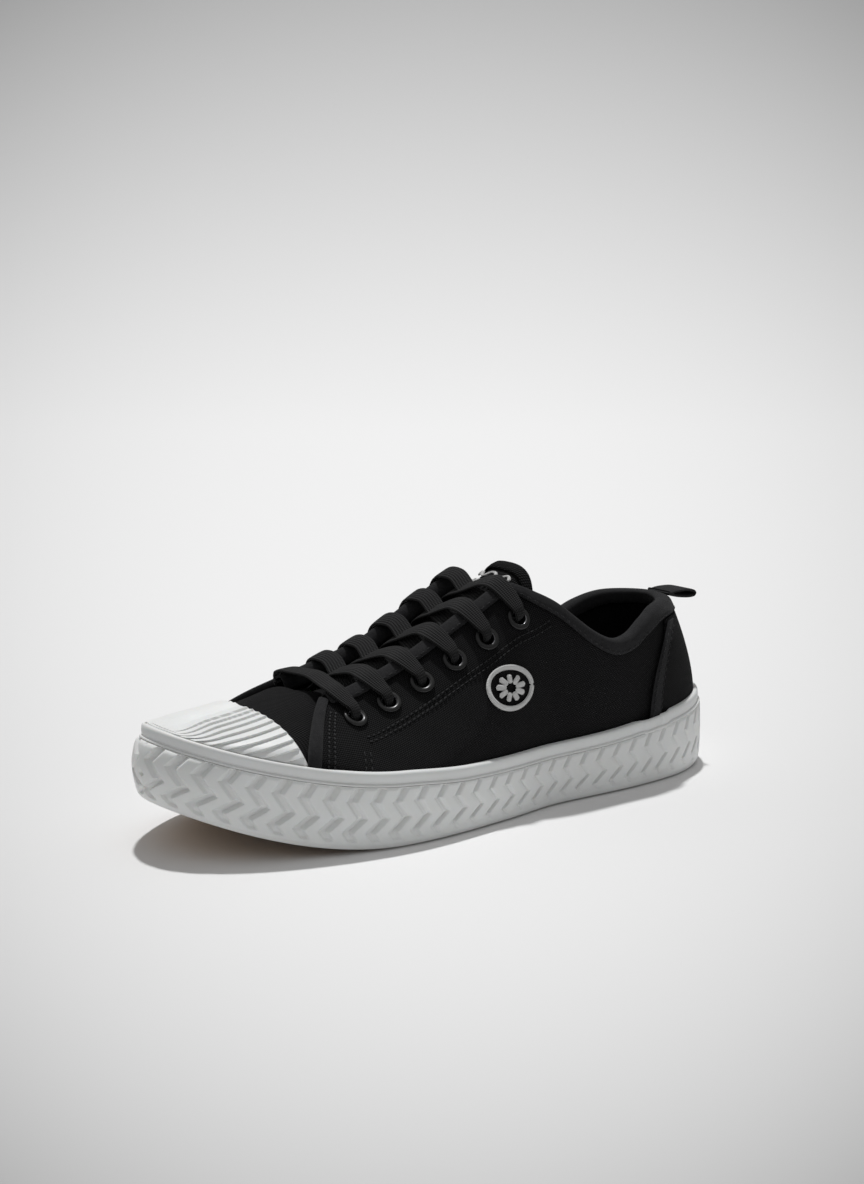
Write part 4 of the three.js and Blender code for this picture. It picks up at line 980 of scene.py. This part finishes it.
def lace_half(first):
    """Way-points of half the lace as rows of x, y, z, width, thickness."""
    rows = [[*over(0, -LENGTH / 2 + 66.5, -0.6), 8, 1.2]]
    for k in range(6):
        side = -first if k % 2 else first
        y = -LENGTH / 2 + 68 + 15.1 * k
        gap = half_gap(station(y))
        centre, axis, towards = eyelet_seat(side, k)

        def edge(x, dy, depth):
            rows.append([*over(side * (gap + x), y + dy, depth), 8, 1.2])

        def hole(across, dy, depth, wide, thick):
            place = centre + towards * across + axis * depth
            rows.append([*(place + throat_way(place[1]) * dy), wide, thick])

        top, under = 3.15, -6.45
        edge(-7, -3.0 if k else -2, -0.9 if k else 0.4)
        edge(0, -2.6, LACE_OVER - 0.15)
        hole(6, -1.2, top, 5.8, 1.5)
        hole(2.6, -0.3, top, 4.4, 2.0)
        hole(0.4, 0, top - 1.4, 3.6, 2.0)
        hole(0, 0, (top + under) / 2, 3.3, 1.8)
        if k == 5:
            hole(-0.3, 0, under + 1, 3.3, 1.8)
            break
        hole(0.4, 0, under + 1.4, 3.3, 1.8)
        hole(2.6, 0.4, under, 3.6, 1.8)
        hole(6, 2.8, under - 0.7, 5.6, 1.5)
        edge(-0.5, 6, LACE_UNDER - 0.3)
        edge(-6, 7.2, LACE_UNDER + 0.8)
        rows.append([*over(0, y + 9.05, -4.2 if side < 0 else -5.7), 8, 1.2])
    end = -first
    t = np.array(THROAT + 83.5 / LENGTH)
    start = v_at_x(end, t, half_gap(t) + 13.6)
    for n, (share, deeper) in enumerate([(1, 1.4), (0.85, 1.2), (0.7, 1.6), (0.55, 2.4)]):
        spread = [5.6, 1.7] if n < 1 else [8, 1.2]
        rows.append([*on_skin(end, t + n * 1.2 / LENGTH, start * share, -4.9 - deeper), *spread])
    return np.array(rows)


def smooth_path(rows, steps):
    """A centripetal spline through the rows: knots are sqrt of distance apart, and each stretch is a
    cubic with the slopes of the parabolas through three neighbours."""
    gaps = np.sqrt(np.maximum(np.linalg.norm(np.diff(rows[:, :3], axis=0), axis=1), 1e-3))
    knots = np.concatenate([[0], np.cumsum(gaps)])
    d = np.diff(rows, axis=0) / gaps[:, None]
    inner = (gaps[1:, None] * d[:-1] + gaps[:-1, None] * d[1:]) / (gaps[:-1] + gaps[1:])[:, None]
    slopes = np.concatenate([d[:1], inner, d[-1:]])
    stretches = [np.linspace(a, b, steps, endpoint=False) for a, b in zip(knots[:-1], knots[1:])]
    at = np.concatenate([*stretches, knots[-1:]])
    i = np.clip(np.searchsorted(knots, at, side="right") - 1, 0, len(gaps) - 1)
    h = gaps[i][:, None]
    q = (at - knots[i])[:, None] / h
    rise = rows[i + 1] - rows[i]
    a, b = slopes[i] * h, slopes[i + 1] * h
    return rows[i] + a * q + (3 * rise - 2 * a - b) * q ** 2 + (a + b - 2 * rise) * q ** 3


lace_rows = np.concatenate([lace_half(-1)[1:][::-1], lace_half(1)])
lace = smooth_path(lace_rows, 9)
path, wide, thick = lace[:, :3], lace[:, 3], lace[:, 4]
run = np.gradient(path, axis=0)
run /= np.linalg.norm(run, axis=1, keepdims=True)
way = throat_way(path[:, 1])
way = way - run * (way * run).sum(1, keepdims=True)
way /= np.linalg.norm(way, axis=1, keepdims=True)
lift = np.cross(run, way)
turn = np.linspace(0, 2 * np.pi, 25)[:-1]
flat_a = np.sign(np.cos(turn)) * np.abs(np.cos(turn)) ** 0.75
flat_b = np.sign(np.sin(turn)) * np.abs(np.sin(turn)) ** 0.45
lace_points = (path[:, None] + (wide / 2)[:, None, None] * flat_a[:, None] * way[:, None]
               + (thick / 2)[:, None, None] * flat_b[:, None] * lift[:, None])
along = np.concatenate([[0], np.cumsum(np.linalg.norm(np.diff(path, axis=0), axis=1))])
lace_uv = np.stack(np.broadcast_arrays(along[:, None], 4 * flat_a[None, :]), -1)
lace_piece = piece("lace_braid", lace_points / 1000, swept(lace_points), braid, lace_uv)
settle(lace_piece, "shoe", "lace", "lace", crease=60)

tip_plastic = Finish("lace_tip_plastic", (0.01, 0.01, 0.011), 0.3)
haze = tip_plastic.speckle(400, 3)
tip_plastic.feed("Roughness", haze * 0.25 + 0.2)
for node in ("aglet_lateral", "aglet_medial"):
    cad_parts[node].data.materials.clear()
    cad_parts[node].data.materials.append(tip_plastic.material)

# The pull tab: a short loop of the same tape at the heel, folded flat and sewn into the binding.
t_end = np.array(1.0)
tab_root = on_skin(1, t_end, edge_v(1, t_end), 1.8) + np.array([0, -0.1, 0.5])
side_view = np.array([[0, 0.55], [4, 1.3], [9, 1.5], [13, 1.2], [15.6, 0.4], [16.3, -0.9], [15.4, -2.2],
                      [13, -2.6], [8, -2.2], [3, -1.1]])
closed = np.concatenate([side_view, side_view[:1]])
loop = smooth_path(np.concatenate([closed, np.zeros((len(closed), 1))], 1), 8)[:-1, :2]
tangent = np.roll(loop, -1, 0) - np.roll(loop, 1, 0)
tangent /= np.linalg.norm(tangent, axis=1, keepdims=True)
normal = np.stack([-tangent[:, 1], tangent[:, 0]], -1)
normal *= np.sign(((loop - loop.mean(0)) * normal).sum())
turn = np.linspace(0, 2 * np.pi, 33)[:-1]
tab_x = 7 * np.sign(np.cos(turn)) * np.abs(np.cos(turn)) ** 0.25
tab_d = -0.55 + 0.55 * np.sign(np.sin(turn)) * np.abs(np.sin(turn)) ** 0.5
tab_points = np.stack([np.broadcast_to(tab_x, (len(loop), 32)),
                       loop[:, None, 0] + normal[:, None, 0] * tab_d,
                       loop[:, None, 1] + normal[:, None, 1] * tab_d], -1)
tab_points = tab_points + tab_root
along = np.linspace(0, 46, len(loop))
tab_uv = np.stack(np.broadcast_arrays(along[:, None], tab_x[None, :]), -1)
tab = piece("pull_loop", tab_points / 1000, quads(*tab_points.shape[:2], True, True), felt, tab_uv)
settle(tab, "tab", "tape", "pull_tab")

# The side emblem: a round burst of padded white embroidery inside a ring, on the outer quarter.
emblem_parts = []


def on_side(y, z, depth):
    t = station(y)
    return on_skin(1, t, v_at_z(1, t, z), depth)


turn = np.linspace(0, 2 * np.pi, 91)
ring_path = on_side(6.8 + 10.6 * np.cos(turn), 49.7 + 7.6 * np.sin(turn), 0.9)
emblem_parts.append(cord_along(ring_path, 1.05, 8, 0.6, (1.0, 0, 0)))
for k in range(9):
    a = 2 * np.pi * (k + 0.25) / 9
    reach = np.linspace(2.4, 7.0, 9)
    petal = on_side(6.8 + reach * np.cos(a), 49.7 + 0.72 * reach * np.sin(a), 0.9)
    emblem_parts.append(cord_along(petal, 1.15, 8, 0.55, (1.0, 0, 0)))
points, faces, uv = gather(emblem_parts)
emblem = piece("emblem_embroidery", points / 1000, faces, thread, uv)
settle(emblem, "shoe", "thread", "side_emblem")

# The sockliner: a loose insole of foam with a black twill cover, cupped a little at the heel.
sock_t = round_stations(120)
sides = np.linspace(-1, 1, 61)


def filled(out, z, t=sock_t):
    """Points across the outline grown by out, at height z(t, share)."""
    rows = []
    for share in sides:
        side = -1 if share < 0 else 1
        rim = np.stack([side * half_width(side, t), (t - 0.5) * LENGTH], -1)
        rim += plan_normal(side, t)[:, :2] * out
        twin = np.stack([-side * half_width(-side, t), (t - 0.5) * LENGTH], -1)
        twin += plan_normal(-side, t)[:, :2] * out
        middle = np.stack([0 * t, (rim[:, 1] + twin[:, 1]) / 2], -1)
        flat = mix(middle, rim, abs(share))
        rows.append(np.concatenate([flat, z(t, share)[:, None]], 1))
    return np.stack(rows, 1)


cover_out = (-4.3 - 2.2 * ease(sock_t, 0.9, 0.99))[:, None]
cover_top = filled(cover_out, lambda t, share: midsole_top(t) + 7.2 - 0.25 * abs(share) ** 8)
cover_low = filled(cover_out, lambda t, share: midsole_top(t) + 6.4 + 0 * t)
cover = plate("sockliner_cloth", cover_top, cover_low, twill)
settle(cover, "sockliner", "lining", "sockliner_cover")
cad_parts["sockliner_foam"].data.materials.clear()
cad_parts["sockliner_foam"].data.materials.append(foam.material)

# The stitching: black thread in separate stitches, one row under the binding, two along the eyestay and
# on the heel strips, and bar tacks at the quarter's front corner.
sewing = Finish("black_thread", (0.03, 0.03, 0.032), 0.6, sheen_weight=0.05, specular_ior_level=0.2)
u, w = sewing.across_and_along()
ply = ((u * 2.2 + w) * 3.0).sine() * 0.5 + 0.5
# Painted shade: the colour is darker in the grooves of the twisted ply and lighter on its crowns.
sewing.feed("Base Color", sewing.blend(ply, (0.009, 0.009, 0.01), (0.042, 0.042, 0.044)))
sewing.relief(ply, 0.0002, 0.8)


def stitches(path, up, length=2.3, gap=0.9, radius=0.26):
    """Cuts a path into stitches, each a short bowed cord that dips at its ends: rise 0.3 sin(pi s)."""
    run = np.concatenate([[0], np.cumsum(np.linalg.norm(np.diff(path, axis=0), axis=1))])
    parts = []
    s = np.linspace(0, 1, 5)
    for start in np.arange(0, run[-1] - length, length + gap):
        at = start + s * length
        line = np.stack([np.interp(at, run, path[:, i]) for i in range(3)], -1)
        facing = np.array([np.interp(start + length / 2, run, up[:, i]) for i in range(3)])
        line = line + facing * (0.34 * np.sin(np.pi * s) - 0.14)[:, None]
        parts.append(cord_along(line, radius, 5, 1.0, facing))
    return parts


def edge_row(side, down, depth, low, high, count=300):
    """A path at a distance below the upper edge, with the way the surface faces."""
    t = np.linspace(low, high, count)
    top = edge_v(side, t)
    v = top - down * per_millimetre(side, t, top)
    return on_skin(side, t, v, depth), outward(side, t, v)


sewn = []
for side in (1, -1):
    sewn += stitches(*edge_row(side, 3.7, 1.75, THROAT + 0.01, 0.995, 500))
    for down in (0, 2.3):
        t = np.linspace(0.27, 0.632, 300)
        v = v_at_x(side, t, half_gap(t) + mix(18.2, 12.2, (t - 0.27) / 0.375))
        v = v - down * per_millimetre(side, t, v)
        sewn += stitches(on_skin(side, t, v, 0.25), outward(side, t, v), 1.7, 0.6)
    for inset in (1.6, 6.2):
        share = np.linspace(0.12, 1, 60)
        t = patch_front(share) + inset / LENGTH
        top = edge_v(side, t)
        v = mix(-0.12, top - 6.6 * per_millimetre(side, t, top), share)
        sewn += stitches(on_skin(side, t, v, 2.75), outward(side, t, v))
    for inset in (6.2, 8.4):
        share = np.linspace(0.12, 0.84, 60)
        t = quarter_front(share) + inset / LENGTH
        v = mix(-0.12, edge_v(side, t), share)
        sewn += stitches(on_skin(side, t, v, 0.25), outward(side, t, v), 1.5, 0.5, 0.38)
    for inset in (20, 22.4):
        share = np.linspace(0.12, 0.48, 40)
        t = quarter_front(share) + inset / LENGTH
        v = mix(-0.12, edge_v(side, t), share)
        sewn += stitches(on_skin(side, t, v, 0.2), outward(side, t, v))
points, faces, uv = gather(sewn)
seams = piece("upper_stitching", points / 1000, faces, sewing, uv)
settle(seams, "shoe", "thread", crease=None)
